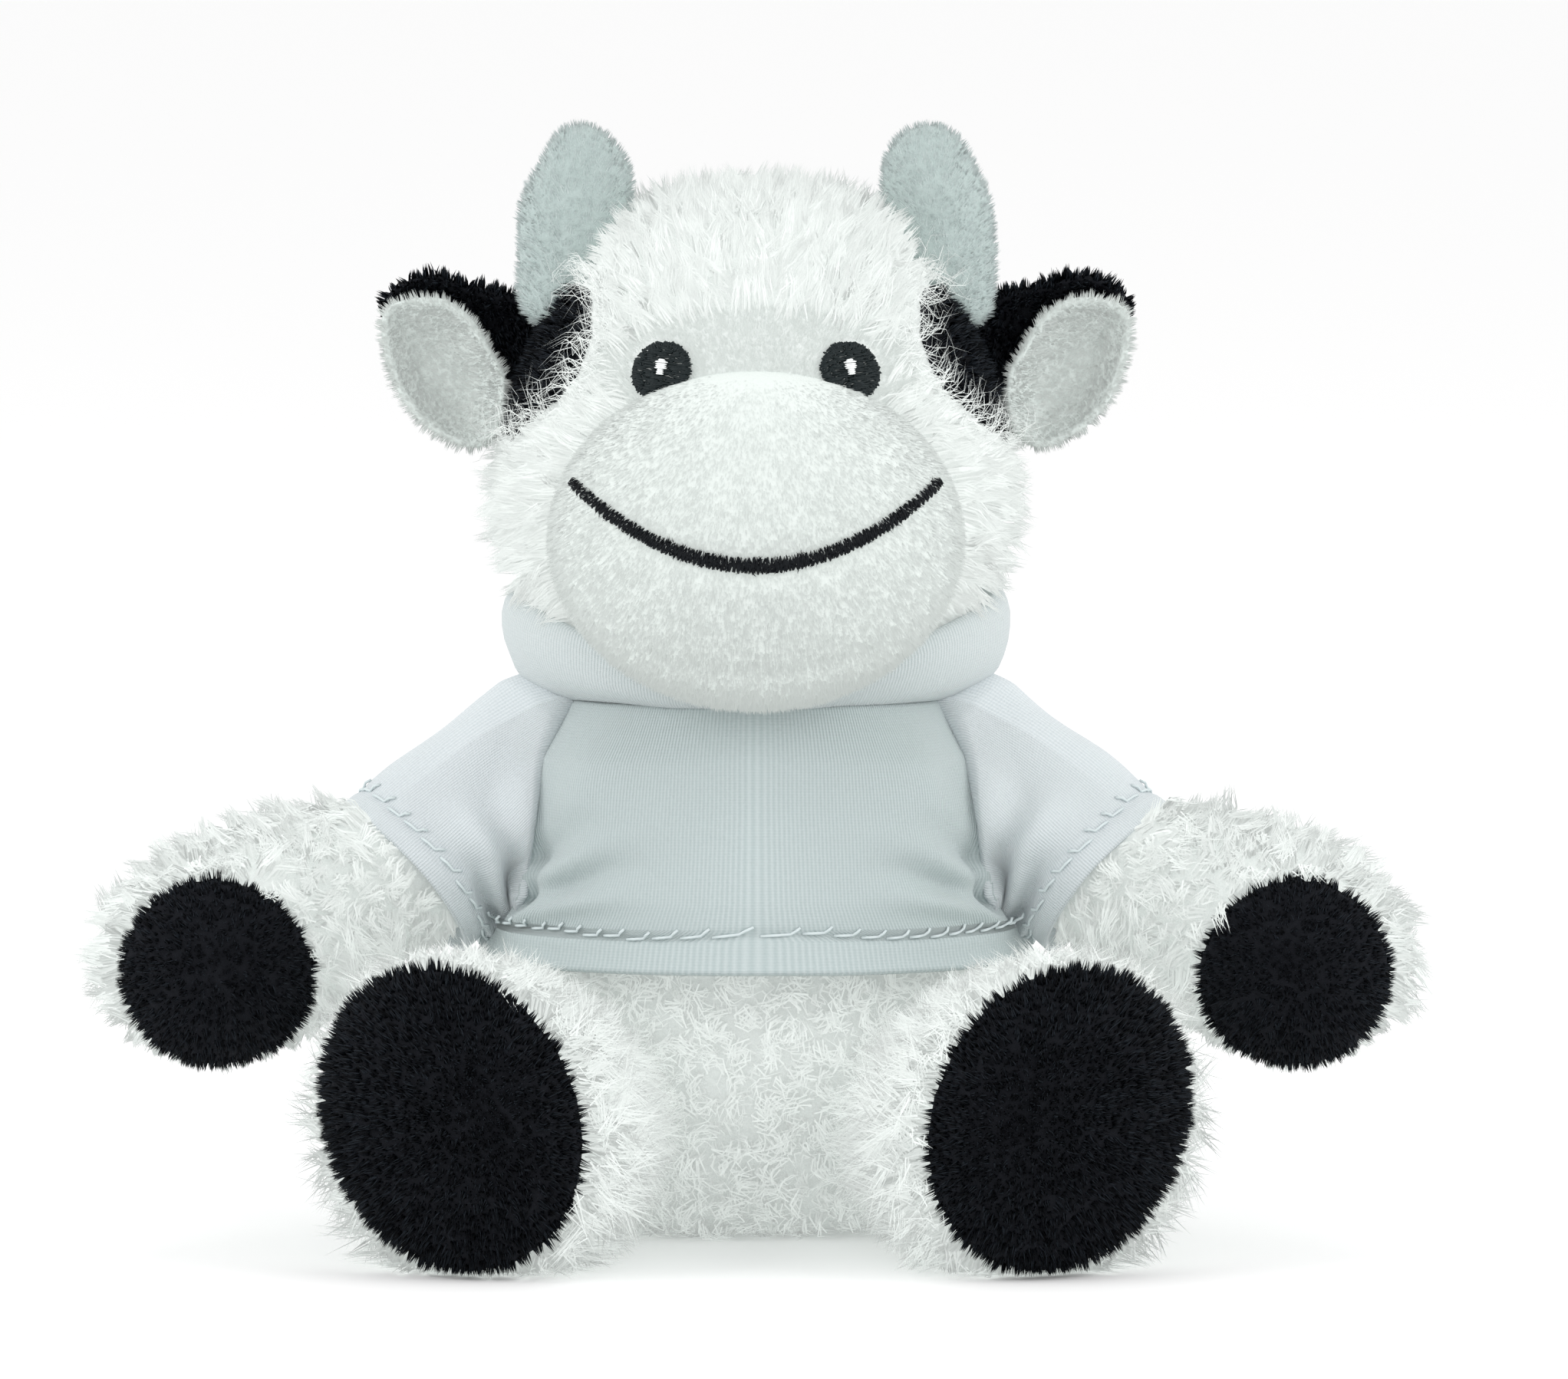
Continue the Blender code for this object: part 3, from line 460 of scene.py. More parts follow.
# Neck
# A short stuffed tube of the same fabric joins the head to the body, out of sight inside the hood.
neck_height, neck_radius = 0.0820, 0.0100
neck_ring_shares = ((-0.98, 0.55), (-0.5, 0.95), (0.0, 1.0), (0.5, 0.95), (0.98, 0.55))
neck_rings = round_rings(neck_ring_shares, neck_radius, neck_radius)
neck = loft("neck_plush", neck_rings, 12, Matrix.Translation((0, 0, neck_height)), 2, long_backing)
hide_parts("neck_stuffing")
sewn_to("neck", "white_long_pile", neck)

# Head
# A round stuffed head of the long white pile. The pile fans out from the muzzle and stays short
# round the eyes, and a patch of short black pile lies on each side behind the cheek.
head_width, head_depth, head_height = 0.0720, 0.0660, 0.0668
head_base, head_forward = 0.0832, 0.0010
head_ring_shares = (
    (0.00, 0.46, 0.42), (0.06, 0.78, 0.74), (0.20, 0.97, 0.94), (0.40, 1.03, 1.02),
    (0.62, 0.96, 0.99), (0.82, 0.76, 0.82), (0.95, 0.50, 0.54), (1.00, 0.24, 0.26),
)
head_rings = oval_rings(head_ring_shares, head_height, head_width, head_depth)
head_place = Matrix.Translation((0, -head_forward, head_base))
head = loft("head_plush", head_rings, 16, head_place, 3, long_backing)
muzzle_middle = np.array((0, -0.030, 0.103))
muzzle_radii = np.array((0.0292, 0.0195, 0.0242))
eye_spacing, eye_height = 0.0266, 0.1268
brow_half, brow_height = (0.0208, 0.0086), 0.1262
patch_place = np.array((0, -0.0045, 0.1275))
patch_size = np.array((1, 0.0165, 0.0115))
patch_inner, neck_line = 0.020, 0.086
crown_line, back_line = 0.127, 0.006


def muzzle_reach(points):
    """How far a place is from the muzzle's middle, seen from the front, where 1 is its edge."""
    return np.hypot(points[:, 0] / muzzle_radii[0], (points[:, 2] - muzzle_middle[2]) / muzzle_radii[2])


def eye_reach(points):
    return np.hypot(np.abs(points[:, 0]) - eye_spacing / 2, points[:, 2] - eye_height)


def brow_reach(points):
    """The short velvet round the eyes and between them, where 1 is its edge."""
    return np.hypot(points[:, 0] / brow_half[0], (points[:, 2] - brow_height) / brow_half[1])


def on_side_patch(points):
    offset = (points - patch_place) / patch_size
    return (np.hypot(offset[:, 1], offset[:, 2]) < 1) & (np.abs(points[:, 0]) > patch_inner)


def head_keep(points, normals):
    in_front = points[:, 1] < 0
    bald = (muzzle_reach(points) < 0.97) & in_front
    bald |= (brow_reach(points) < 0.92) & in_front
    bald |= on_side_patch(points)
    bald |= points[:, 2] < neck_line
    return 1.0 - bald


def head_trim(points, normals):
    """Short in front of the side patches, so that the black pile shows, and short inside the hood."""
    offset = (points - patch_place) / patch_size
    shortest = np.clip(0.35 + 0.8 * (offset[:, 1] + 0.3), 0.35, 1)
    near = np.clip((np.hypot(offset[:, 1], offset[:, 2]) - 1.0) / 0.45, shortest, 1)
    in_hood = np.where(points[:, 1] > 0, np.clip((points[:, 2] - 0.096) / 0.018, 0.35, 1), 1)
    return np.where(np.abs(points[:, 0]) > patch_inner, near, 1) * in_hood


def head_flow(points, normals):
    """The pile fans away from the muzzle in front and falls behind."""
    away = unit(points - muzzle_middle)
    flow = away - normals * (away * normals).sum(axis=1, keepdims=True)
    front = np.clip(-points[:, 1] / 0.02, 0, 1)[:, None]
    down = np.zeros_like(points)
    down[:, 2] = -0.35
    return flow * 0.75 * front + down * (1 - front)


head_zones = (
    ("crown", 21, 8500, (0.0042, 0.0062), lambda p: (p[:, 2] > crown_line) & (p[:, 1] < back_line)),
    ("cheeks", 22, 9500, (0.0046, 0.0068), lambda p: (p[:, 2] <= crown_line) & (p[:, 1] < back_line)),
    ("back", 23, 11500, (0.0046, 0.0064), lambda p: p[:, 1] >= back_line),
)
for zone, seed, count, length, inside in head_zones:
    def head_zone_keep(points, normals):
        near_brow = np.where(points[:, 1] < 0, np.clip((brow_reach(points) - 0.85) * 3, 0.3, 1), 1)
        return head_keep(points, normals) * inside(points) * near_brow

    pile = plant_pile(f"head_pile_{zone}", head, count=count, length=length, width=0.00034,
                      materials=long_pile, seed=seed, keep=head_zone_keep, lean=head_flow, trim=head_trim,
                      spread=0.34, tuft=16, pull=0.55, curl=0.12, bends=(0.5,))
    sewn_to("head", "white_long_pile", pile)


def brow_keep(points, normals):
    zone = (brow_reach(points) < 1.12) & (points[:, 1] < 0) & (muzzle_reach(points) > 0.97)
    return zone * (eye_reach(points) > 0.0043)


# Painted light: the short white velvet glows like the long pile, a painted brightness.
short_shades = ((0.52, 0.56, 0.54), (0.51, 0.55, 0.53), (0.53, 0.57, 0.55))
short_pile = pile_shades("white_velvet", short_shades, Emission_Strength=0.27, **painted_glow)
pile = plant_pile("brow_pile", head, count=6500, length=(0.0010, 0.0018), width=0.00024,
                  materials=short_pile, seed=24, keep=brow_keep, lean=head_flow, spread=0.24, tuft=8,
                  pull=0.15, bends=())
sewn_to("head", "white_long_pile", pile)
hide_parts("head_skin", "head_stuffing")
sewn_to("head", "white_long_pile", head)

# Muzzle
# A domed gusset of short brushed white pile, stuffed firmly and sewn into the face. The mouth's
# thread draws the dome in, and a seam under the chin draws it in again.
# The velvet's backing glows as much as its fibres: painted light.
short_backing = backing_look("white_velvet_backing", thick=(0.56, 0.60, 0.58), thin=(0.53, 0.57, 0.55),
                             tuft_size=0.0006, Emission_Strength=0.27, **painted_glow)
mouth_half, mouth_low, mouth_end = 0.0260, 0.1006, 0.1114
chin_seam_half, chin_seam_low, chin_seam_end = 0.0190, 0.0848, 0.0885
muzzle_wall, muzzle_slope = 0.0085, 0.70


def bow_height(across, half, low, end):
    return low + (end - low) * (across / half) ** 2


def drawn_in(point, half, low, end, depth, breadth):
    """How far a sewn bow pulls the surface in at a place."""
    fade = max(0.0, 1 - max(0.0, abs(point.x) - half * 0.85) / (half * 0.3))
    off = (point.z - bow_height(min(abs(point.x), half), half, low, end)) / breadth
    return depth * fade * math.exp(-off * off)


bm = bmesh.new()
bmesh.ops.create_uvsphere(bm, u_segments=96, v_segments=64, radius=1)
bmesh.ops.rotate(bm, cent=(0, 0, 0), matrix=Matrix.Rotation(math.pi / 2, 3, "X"), verts=bm.verts)
bmesh.ops.bisect_plane(bm, geom=[*bm.verts, *bm.edges, *bm.faces], plane_co=(0, 0, 0),
                       plane_no=(0, 1, 0), clear_outer=True)
rim = [edge for edge in bm.edges if edge.is_boundary]
bmesh.ops.scale(bm, vec=muzzle_radii, verts=bm.verts)
wall = bmesh.ops.extrude_edge_only(bm, edges=rim)["geom"]
for vert in [item for item in wall if isinstance(item, bmesh.types.BMVert)]:
    vert.co.y += muzzle_wall * (1 + muzzle_slope * vert.co.z / muzzle_radii[2]) + 0.004
bmesh.ops.holes_fill(bm, edges=bm.edges)
bmesh.ops.translate(bm, vec=muzzle_middle, verts=bm.verts)
for vert in bm.verts:
    if vert.co.y < muzzle_middle[1] - 0.001:
        vert.co.y += drawn_in(vert.co, mouth_half, mouth_low, mouth_end, 0.0011, 0.0022)
        vert.co.y += drawn_in(vert.co, chin_seam_half, chin_seam_low, chin_seam_end, 0.0007, 0.0013)
muzzle = new_piece("muzzle_plush", bm, short_backing)


def muzzle_keep(points, normals):
    return (points[:, 1] < muzzle_middle[1] + 0.004).astype(float)


def muzzle_flow(points, normals):
    """The nap lies down and outwards."""
    flow = np.zeros_like(points)
    flow[:, 0] = points[:, 0] * 20
    flow[:, 2] = -1.1
    return flow


pile = plant_pile("muzzle_pile", muzzle, count=34000, length=(0.0012, 0.0015), width=0.00024,
                  materials=short_pile, seed=31, keep=muzzle_keep, lean=muzzle_flow, spread=0.12, tuft=9,
                  pull=0.05, bends=(), sunk=0.0002)
sewn_to("head", "white_short_pile", pile)
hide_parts("muzzle")
sewn_to("head", "white_short_pile", muzzle)

# Mouth
# One bow of black thread, sewn over and over across the muzzle in slanting stitches, with short ends
# of fibre standing off it.
thread_black = Look("black_thread", 0.5, Specular_IOR_Level=0.12)
twist = (thread_black.noise(1800, 2.0) + thread_black.noise(400, 2.0)) / 2
thread_black.set("Base Color", thread_black.blend(twist, (0.001, 0.002, 0.003), (0.012, 0.014, 0.017)))
thread_black.bump(twist, 0.0003)
black_shades = ((0.0015, 0.002, 0.003), (0.003, 0.004, 0.006), (0.020, 0.025, 0.032))
black_fibre = pile_shades("black_fibre", black_shades, 0.4, Specular_IOR_Level=0.08)


def front_of(piece):
    """Finds the place on a piece's front at a place seen from the front, and the way out of it."""
    def face(across, height):
        _, place, normal, _ = piece.ray_cast(Vector((across, -0.2, height)), Vector((0, 1, 0)))
        return place, normal
    return face


def run_thread(bm, path, radii, sides_count):
    """A closed thread of round section along a list of points."""
    loops = []
    for index, (place, radius) in enumerate(zip(path, radii)):
        ahead = (path[min(index + 1, len(path) - 1)] - path[max(index - 1, 0)]).normalized()
        before = len(bm.edges)
        ring = bmesh.ops.create_circle(bm, segments=sides_count, radius=radius)["verts"]
        turn = ahead.to_track_quat("Z", "Y").to_matrix().to_4x4()
        bmesh.ops.transform(bm, matrix=Matrix.Translation(place) @ turn, verts=ring)
        bm.edges.ensure_lookup_table()
        loops.append(list(bm.edges[before:]))
    for first, second in zip(loops, loops[1:]):
        bmesh.ops.bridge_loops(bm, edges=first + second)
    for loop in (loops[0], loops[-1]):
        bmesh.ops.edgeloop_fill(bm, edges=loop)


def stitches(name, segments, face, thickness, lift, material):
    """Short threads laid between pairs of places on a face, each bowed a little off it."""
    bm = bmesh.new()
    for start, end in segments:
        ends = [face(*start), face(*end)]
        out = (ends[0][1] + ends[1][1]).normalized()
        low, high = (place + out * lift for place, _ in ends)
        middle = (low + high) / 2 + out * thickness * 0.5
        path = [low, low.lerp(middle, 0.4) + out * thickness * 0.2, middle,
                high.lerp(middle, 0.4) + out * thickness * 0.2, high]
        run_thread(bm, path, [thickness / 2 * share for share in (0.5, 1, 1, 1, 0.5)], 5)
    return new_piece(name, bm, material)


rng = np.random.default_rng(33)
mouth_stitches, mouth_breadth, mouth_slant = 190, 0.00100, math.radians(74)
segments = []
for step in range(mouth_stitches + 1):
    across = mouth_half * (2 * step / mouth_stitches - 1)
    height = bow_height(across, mouth_half, mouth_low, mouth_end)
    slope = math.atan2(2 * (mouth_end - mouth_low) * across / mouth_half**2, 1)
    turn = slope + mouth_slant * (1 if step % 2 else 1.2) + rng.normal(0, 0.10)
    near_end = min(1.0, 0.80 + 0.06 * min(step, mouth_stitches - step))
    reach = mouth_breadth * near_end * (1.15 - 0.25 * abs(across) / mouth_half) * rng.uniform(0.88, 1.12)
    run, rise = math.cos(turn) * reach, math.sin(turn) * reach
    segments.append(((across - run, height - rise), (across + run, height + rise)))
mouth = stitches("mouth_line", segments, front_of(muzzle), thickness=0.00052, lift=0.00035,
                 material=thread_black.material)
pile = plant_pile("mouth_fibres", mouth, count=1500, length=(0.0004, 0.0009), width=0.00014,
                  materials=black_fibre, seed=32, spread=0.45, tuft=4, pull=0.3, bends=(), sunk=0.0001,
                  silky=False)
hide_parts("mouth_thread")
sewn_to("head", "black_thread", mouth, pile)

# Side patches of the head
# Short black pile sewn in behind each cheek, under the horn and round the root of the ear. Each patch
# is cut from the head's own form and stands a little proud of it.
patch_proud, patch_thickness = 0.0007, 0.0009


def eased(bm, verts, times):
    for _ in range(times):
        bmesh.ops.smooth_vert(bm, verts=verts, factor=0.5, use_axis_x=True, use_axis_y=True, use_axis_z=True)


black_backing = backing_look("black_backing", thick=(0.010, 0.011, 0.015), thin=(0.004, 0.005, 0.007),
                             tuft_size=0.0008, Specular_IOR_Level=0.2)
for name, sign in sides:
    rings = oval_rings(head_ring_shares, head_height, head_width, head_depth, patch_proud)
    patch = loft(f"side_patch_{name}", rings, 16, head_place, 3, black_backing)
    bm = bmesh.new()
    bm.from_mesh(patch.data)
    outside = []
    for face in bm.faces:
        middle = np.array([face.calc_center_median()])
        if not on_side_patch(middle)[0] or middle[0][0] * sign < 0:
            outside.append(face)
    bmesh.ops.delete(bm, geom=outside, context="FACES")
    eased(bm, [vert for vert in bm.verts if vert.is_boundary], 4)
    bmesh.ops.solidify(bm, geom=list(bm.faces), thickness=patch_thickness)
    bm.to_mesh(patch.data)
    bm.free()

    def outer_face(points, normals):
        return (normals[:, 0] * sign > 0.3).astype(float)

    pile = plant_pile(f"side_patch_pile_{name}", patch, count=2600, length=(0.0016, 0.0026), width=0.00026,
                      materials=black_fibre, seed=41, keep=outer_face, lean=head_flow, spread=0.4, tuft=7,
                      pull=0.4, bends=(0.5,), sunk=0.0003, silky=False)
    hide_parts(f"head_patch_{name}")
    sewn_to("head", "black_short_pile", patch, pile)

    def front_rim(points, normals):
        """The white pile's edge in front of the patch, whose loose ends curl over it."""
        offset = (points - patch_place) / patch_size
        rim = np.hypot(offset[:, 1], offset[:, 2])
        return (rim > 0.98) & (rim < 1.18) & (points[:, 1] < 0) & (points[:, 0] * sign > 0.015)

    def over_patch(points, normals):
        back = unit(patch_place + np.array((sign * 0.036, 0, 0)) - points)
        return back * 0.6

    wisps = plant_pile(f"side_wisps_{name}", head, count=340, length=(0.0045, 0.0085), width=0.00015,
                       materials=long_pile, seed=42, keep=front_rim, lean=over_patch, spread=0.5, tuft=3,
                       pull=0.3, curl=0.55, bends=(0.25, 0.5, 0.75))
    sewn_to("head", "white_long_pile", wisps)

# Eyes
# Each eye is filled with rows of dark satin stitches inside a ring of short ones, and a few
# white stitches across it make the glint.
eye_radii, eye_slant = (0.00415, 0.00405), 0.16


def satin_thread(name, roughness, shine, grain, furrow, ridge):
    look = Look(name, roughness, Specular_IOR_Level=shine)
    twist = look.noise(grain, 2.0)
    look.set("Base Color", look.blend(twist, furrow, ridge))
    look.bump(twist, 0.0001)
    return look.material


thread_white = satin_thread("white_thread", roughness=0.5, shine=0.3, grain=1500, furrow=(0.80, 0.83, 0.83),
                            ridge=(0.92, 0.93, 0.93))
eye_black = satin_thread("eye_thread", roughness=0.42, shine=0.14, grain=2600, furrow=(0.003, 0.005, 0.006),
                         ridge=(0.026, 0.036, 0.038))
rng = np.random.default_rng(51)
eye_rows, eye_spokes, glint_rows = 34, 58, 8
for name, sign in sides:
    def on_eye(run, rise):
        """A place on the eye, whose lower end leans outwards."""
        return sign * (eye_spacing / 2 + run - eye_slant * rise), eye_height + rise

    segments = []
    for row in range(eye_rows):
        rise = (2 * (row + 0.5) / eye_rows - 1) * eye_radii[1] * 0.96
        half = eye_radii[0] * math.sqrt(max(0.0, 1 - (rise / eye_radii[1]) ** 2))
        stops = [-half, *np.sort(rng.uniform(-half * 0.8, half * 0.8, 3)), half]
        for low, high in zip(stops, stops[1:]):
            slant = rng.normal(0.00008, 0.00010)
            segments.append((on_eye(low, rise - slant), on_eye(high, rise + slant)))
    for spoke in range(eye_spokes):
        turn = 2 * math.pi * spoke / eye_spokes + rng.normal(0, 0.03)
        reaches = (0.74 + rng.uniform(-0.10, 0.06), 1.0 + rng.uniform(-0.02, 0.06))
        segments.append(tuple(
            on_eye(eye_radii[0] * reach * math.cos(turn), eye_radii[1] * reach * math.sin(turn))
            for reach in reaches
        ))
    eye = stitches(f"eye_stitches_{name}", segments, front_of(head), thickness=0.00042, lift=0.0007,
                   material=eye_black)
    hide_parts(f"eye_{name}")
    sewn_to("head", "black_thread", eye)
    segments = []
    for row in range(glint_rows):
        rise = (row / (glint_rows - 1) - 0.5) * 0.0019 + 0.0004
        half = (0.00085 if 2 < row < glint_rows - 1 else 0.00050) * rng.uniform(0.9, 1.1)
        segments.append((on_eye(-half, rise), on_eye(half, rise + 0.0001)))
    glint = stitches(f"glint_stitches_{name}", segments, front_of(head), thickness=0.00030, lift=0.0011,
                     material=thread_white)
    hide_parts(f"eye_glint_{name}")
    sewn_to("head", "white_thread", glint)

# Horns
# Two stubby stuffed horns of short pale blue-grey pile, sewn on above the ears.
horn_spacing, horn_base, horn_length = 0.0570, 0.1300, 0.0310
horn_width, horn_depth, horn_lean = 0.0164, 0.0130, math.radians(8)
horn_ring_shares = (
    (0.00, 0.74, 0.80), (0.30, 1.00, 1.00), (0.62, 1.04, 1.00), (0.86, 0.80, 0.78), (1.00, 0.34, 0.34),
)
horn_backing = backing_look("grey_backing", thick=(0.46, 0.54, 0.525), thin=(0.42, 0.50, 0.485),
                            tuft_size=0.0007)
horn_shades = ((0.51, 0.59, 0.58), (0.535, 0.615, 0.60), (0.56, 0.64, 0.625))
# Painted light: the horns' pile glows faintly in blue-grey, a painted brightness.
painted_horn_glow = {"Emission_Color": (0.7, 0.78, 0.8, 1), "Emission_Strength": 0.06}
horn_pile = pile_shades("grey_pile", horn_shades, Specular_IOR_Level=0.3, **painted_horn_glow)


for name, sign in sides:
    rings = oval_rings(horn_ring_shares, horn_length, horn_width, horn_depth)
    lean = Matrix.Rotation(-sign * horn_lean, 4, "Y")
    placed = Matrix.Translation((sign * horn_spacing / 2, 0, horn_base)) @ lean
    horn = lumped(loft(f"horn_plush_{name}", rings, 12, placed, 3, horn_backing), size=0.008, height=0.0009)
    pile = plant_pile(f"horn_pile_{name}", horn, count=8000, length=(0.0009, 0.0014), width=0.00022,
                      materials=horn_pile, seed=61, lean=leaning(0, 0, 0.7), spread=0.22, tuft=9, pull=0.25,
                      bends=(), sunk=0.0002)
    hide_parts(f"horn_{name}")
    sewn_to("head", "grey_short_pile", horn, pile)

# Ears
# Each ear is a leaf of white velvet, hollow in front with a rolled upper rim, sewn to a larger leaf of
# black pile that shows above it and runs on to the head.
ear_middle = Vector((0.0452, 0, 0.1250))
lining_outline = (
    (0.0084, 0.0092), (0.0056, 0.0106), (0.0023, 0.0110), (-0.0008, 0.0103), (-0.0043, 0.0074),
    (-0.0070, 0.0029), (-0.0088, -0.0008), (-0.0080, -0.0065), (-0.0046, -0.0106), (0.0004, -0.0090),
    (0.0043, -0.0057), (0.0070, -0.0012), (0.0086, 0.0045),
)
back_outline = (
    (0.0086, 0.0098), (0.0062, 0.0120), (0.0022, 0.0132), (-0.0020, 0.0120), (-0.0064, 0.0110),
    (-0.0105, 0.0102), (-0.0130, 0.0076), (-0.0127, -0.0010), (-0.0100, -0.0080), (-0.0046, -0.0094),
    (0.0003, -0.0076), (0.0044, -0.0036), (0.0068, 0.0016), (0.0082, 0.0062),
)
ear_rim_forward, ear_rim_step, ear_hollow, ear_wall = 0.0012, 0.0017, 0.0046, 0.0013


def round_outline(points, count):
    """A smooth closed curve through a few points, as evenly numbered places."""
    places = []
    for step in range(count):
        spot = step * len(points) / count
        index, share = int(spot), spot - int(spot)
        a, b, c, d = (Vector(points[(index + shift) % len(points)]) for shift in (-1, 0, 1, 2))
        places.append(
            0.5 * (2 * b + (c - a) * share + (2 * a - 5 * b + 4 * c - d) * share**2
                   + (3 * b - a - 3 * c + d) * share**3)
        )
    return places


def ear_leaf(name, sign, outline, forward, hollow, rolled, material):
    """A leaf inside an outline. Its middle lies back, and its upper inner edge can roll forward."""
    bm = bmesh.new()
    loops = []
    edge = round_outline(outline, 56)
    for reach in (1.0, 0.94, 0.87, 0.80, 0.72, 0.62, 0.50, 0.36, 0.20, 0.06):
        before = len(bm.edges)
        ring = bmesh.ops.create_circle(bm, segments=len(edge), radius=1)["verts"]
        for vert, spot in zip(ring, edge):
            upper_inner = max(0.0, (spot.y * 0.75 - spot.x * 0.65) / 0.010)
            start = 1.0 - 0.20 * min(1.0, upper_inner) * rolled
            depth = min(1.0, max(0.0, (start - reach) / (start - 0.15 - 0.35 * (1 - rolled * upper_inner))))
            sunk = hollow * depth**0.8
            near_rim = min(1.0, max(0.0, (reach - 0.76) / 0.24))
            lip = rolled * upper_inner * 0.0010 * math.sin(math.pi * near_rim)
            vert.co = (
                sign * (ear_middle.x + spot.x * reach),
                -forward + sunk - lip,
                ear_middle.z + spot.y * reach,
            )
        bm.edges.ensure_lookup_table()
        loops.append(list(bm.edges[before:]))
    for outer, inner in zip(loops, loops[1:]):
        bmesh.ops.bridge_loops(bm, edges=outer + inner)
    bmesh.ops.edgeloop_fill(bm, edges=loops[-1])
    leaf = new_piece(name, bm, material)
    if sum(face.normal.y * face.area for face in leaf.data.polygons) > 0:
        leaf.data.flip_normals()
    shell = leaf.modifiers.new("wall", "SOLIDIFY")
    shell.thickness = ear_wall
    shell.offset = -1
    return softened(leaf, 1)


def uncovered(points, ways, cover, gap=0.0):
    """Where a covering piece isn't close by, nor just outside, each place looking its own way."""
    reach = 0.008
    corners = np.array(cover.bound_box)
    near = ((points > corners.min(axis=0) - reach) & (points < corners.max(axis=0) + reach)).all(axis=1)
    clear = np.ones(len(points))
    for index in np.flatnonzero(near):
        place = Vector(points[index])
        seam = (cover.closest_point_on_mesh(place, distance=gap)[0]) if gap else False
        clear[index] = not (seam or cover.ray_cast(place, Vector(ways[index]), distance=reach)[0])
    return clear


# Painted shade: the ear linings' velvet is the muzzle's white velvet with less of its painted glow and a
# slightly darker backing, so the cupped linings read shaded.
shaded_ear_backing = backing_look("ear_velvet_backing", thick=(0.54, 0.59, 0.57), thin=(0.50, 0.55, 0.53),
                           tuft_size=0.0006, Emission_Strength=0.18, **painted_glow)
shaded_ear_pile = pile_shades("ear_velvet", short_shades, Emission_Strength=0.21, **painted_glow)


def ear_lining_keep(points, normals):
    return (normals[:, 1] < 0.35).astype(float)


for name, sign in sides:
    back = ear_leaf(f"ear_back_plush_{name}", sign, back_outline, forward=ear_rim_forward - ear_rim_step,
                    hollow=ear_hollow, rolled=0.0, material=black_backing)
    lining = ear_leaf(f"ear_lining_plush_{name}", sign, lining_outline, forward=ear_rim_forward,
                      hollow=ear_hollow - 0.0006, rolled=1.0, material=shaded_ear_backing)

    def ear_flow(points, normals):
        out = points - np.array((sign * (ear_middle.x - 0.006), 0.004, ear_middle.z - 0.004))
        return unit(out) * 0.7

    def above_lining(points):
        """The black pile shows above the lining and on its side next to the head."""
        across, up = (points[:, 0] * sign - ear_middle.x), points[:, 2] - ear_middle.z
        return np.clip((up - 0.45 * across - 0.0035) / 0.003, 0, 1)

    def bare_back(points, normals):
        forward = np.tile((0.0, -1.0, 0.0), (len(points), 1))
        shown = uncovered(points, forward, lining) * (above_lining(points) > 0)
        return np.maximum(shown, normals[:, 1] > 0.6)

    def back_trim(points, normals):
        return 0.45 + 0.55 * above_lining(points)

    back_pile = plant_pile(f"ear_back_pile_{name}", back, count=5200, length=(0.0014, 0.0023),
                           width=0.00030, materials=black_fibre, seed=71, keep=bare_back, lean=ear_flow,
                           trim=back_trim, spread=0.25, tuft=8, pull=0.5, bends=(0.5,), sunk=0.0003,
                           silky=False)
    lining_pile = plant_pile(f"ear_lining_pile_{name}", lining, count=7000, length=(0.0009, 0.0015),
                             width=0.00022, materials=shaded_ear_pile, seed=72, keep=ear_lining_keep,
                             lean=ear_flow, spread=0.25, tuft=9, pull=0.3, bends=(), sunk=0.0002)
    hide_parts(f"ear_back_{name}")
    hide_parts(f"ear_lining_{name}")
    sewn_to(f"ear_{name}", "black_short_pile", back, back_pile)
    sewn_to(f"ear_{name}", "white_short_pile", lining, lining_pile)

# Arms
# Stuffed arms of the long white pile, bare from the cuff on, each with a round pad of black pile
# in the palm.
shoulder_spacing, shoulder_height, shoulder_forward = 0.0600, 0.0630, 0.0020
arm_aim = Vector((0.0455, -0.0180, -0.0205)).normalized()
arm_root, paw_width, paw_reach = 0.0135, 0.0310, 0.0555
ball_ring_shares = ((-0.98, 0.24), (-0.78, 0.64), (-0.34, 0.95))
arm_ring_shares = (
    (0.03, 0.87), (0.22, 0.84), (0.46, 0.77), (0.56, 0.77), (0.86, 1.00), (1.11, 1.00), (1.28, 0.46),
)
pad_swell, pad_margin = 0.0003, 0.0012
cuff_middle, cuff_aim = Vector((0.0515, -0.0105, 0.0514)), Vector((0.72, -0.28, -0.63)).normalized()


def frame_along(start, ahead):
    """A frame at start whose Z runs ahead and whose Y leans up."""
    across = Vector((0, 0, 1)).cross(ahead).normalized()
    up = ahead.cross(across)
    return Matrix.Translation(start) @ Matrix((across, up, ahead)).transposed().to_4x4()


def pad_form(name, source, swell, material):
    """A pad that follows its CAD node, merged and made a little fuller."""
    pad = bpy.data.objects.new(name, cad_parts[source].data.copy())
    bpy.context.scene.collection.objects.link(pad)
    bm = bmesh.new()
    bm.from_mesh(pad.data)
    bmesh.ops.remove_doubles(bm, verts=bm.verts, dist=0.00002)
    bm.to_mesh(pad.data)
    bm.free()
    pad.data.materials.clear()
    pad.data.materials.append(material)
    grid = pad.modifiers.new("grid", "REMESH")
    grid.mode = "VOXEL"
    grid.voxel_size = 0.0006
    grid.use_smooth_shade = True
    ease = pad.modifiers.new("ease", "SMOOTH")
    ease.factor = 0.5
    ease.iterations = 4
    applied(pad)
    for vert in pad.data.vertices:
        vert.co += vert.normal * swell
    return pad


def nap_from(middle):
    """Pile that is brushed outwards from a pad's middle."""
    def lean(points, normals):
        away = points - middle
        return away / np.linalg.norm(away, axis=1, keepdims=True).clip(0.006) * 0.8
    return lean


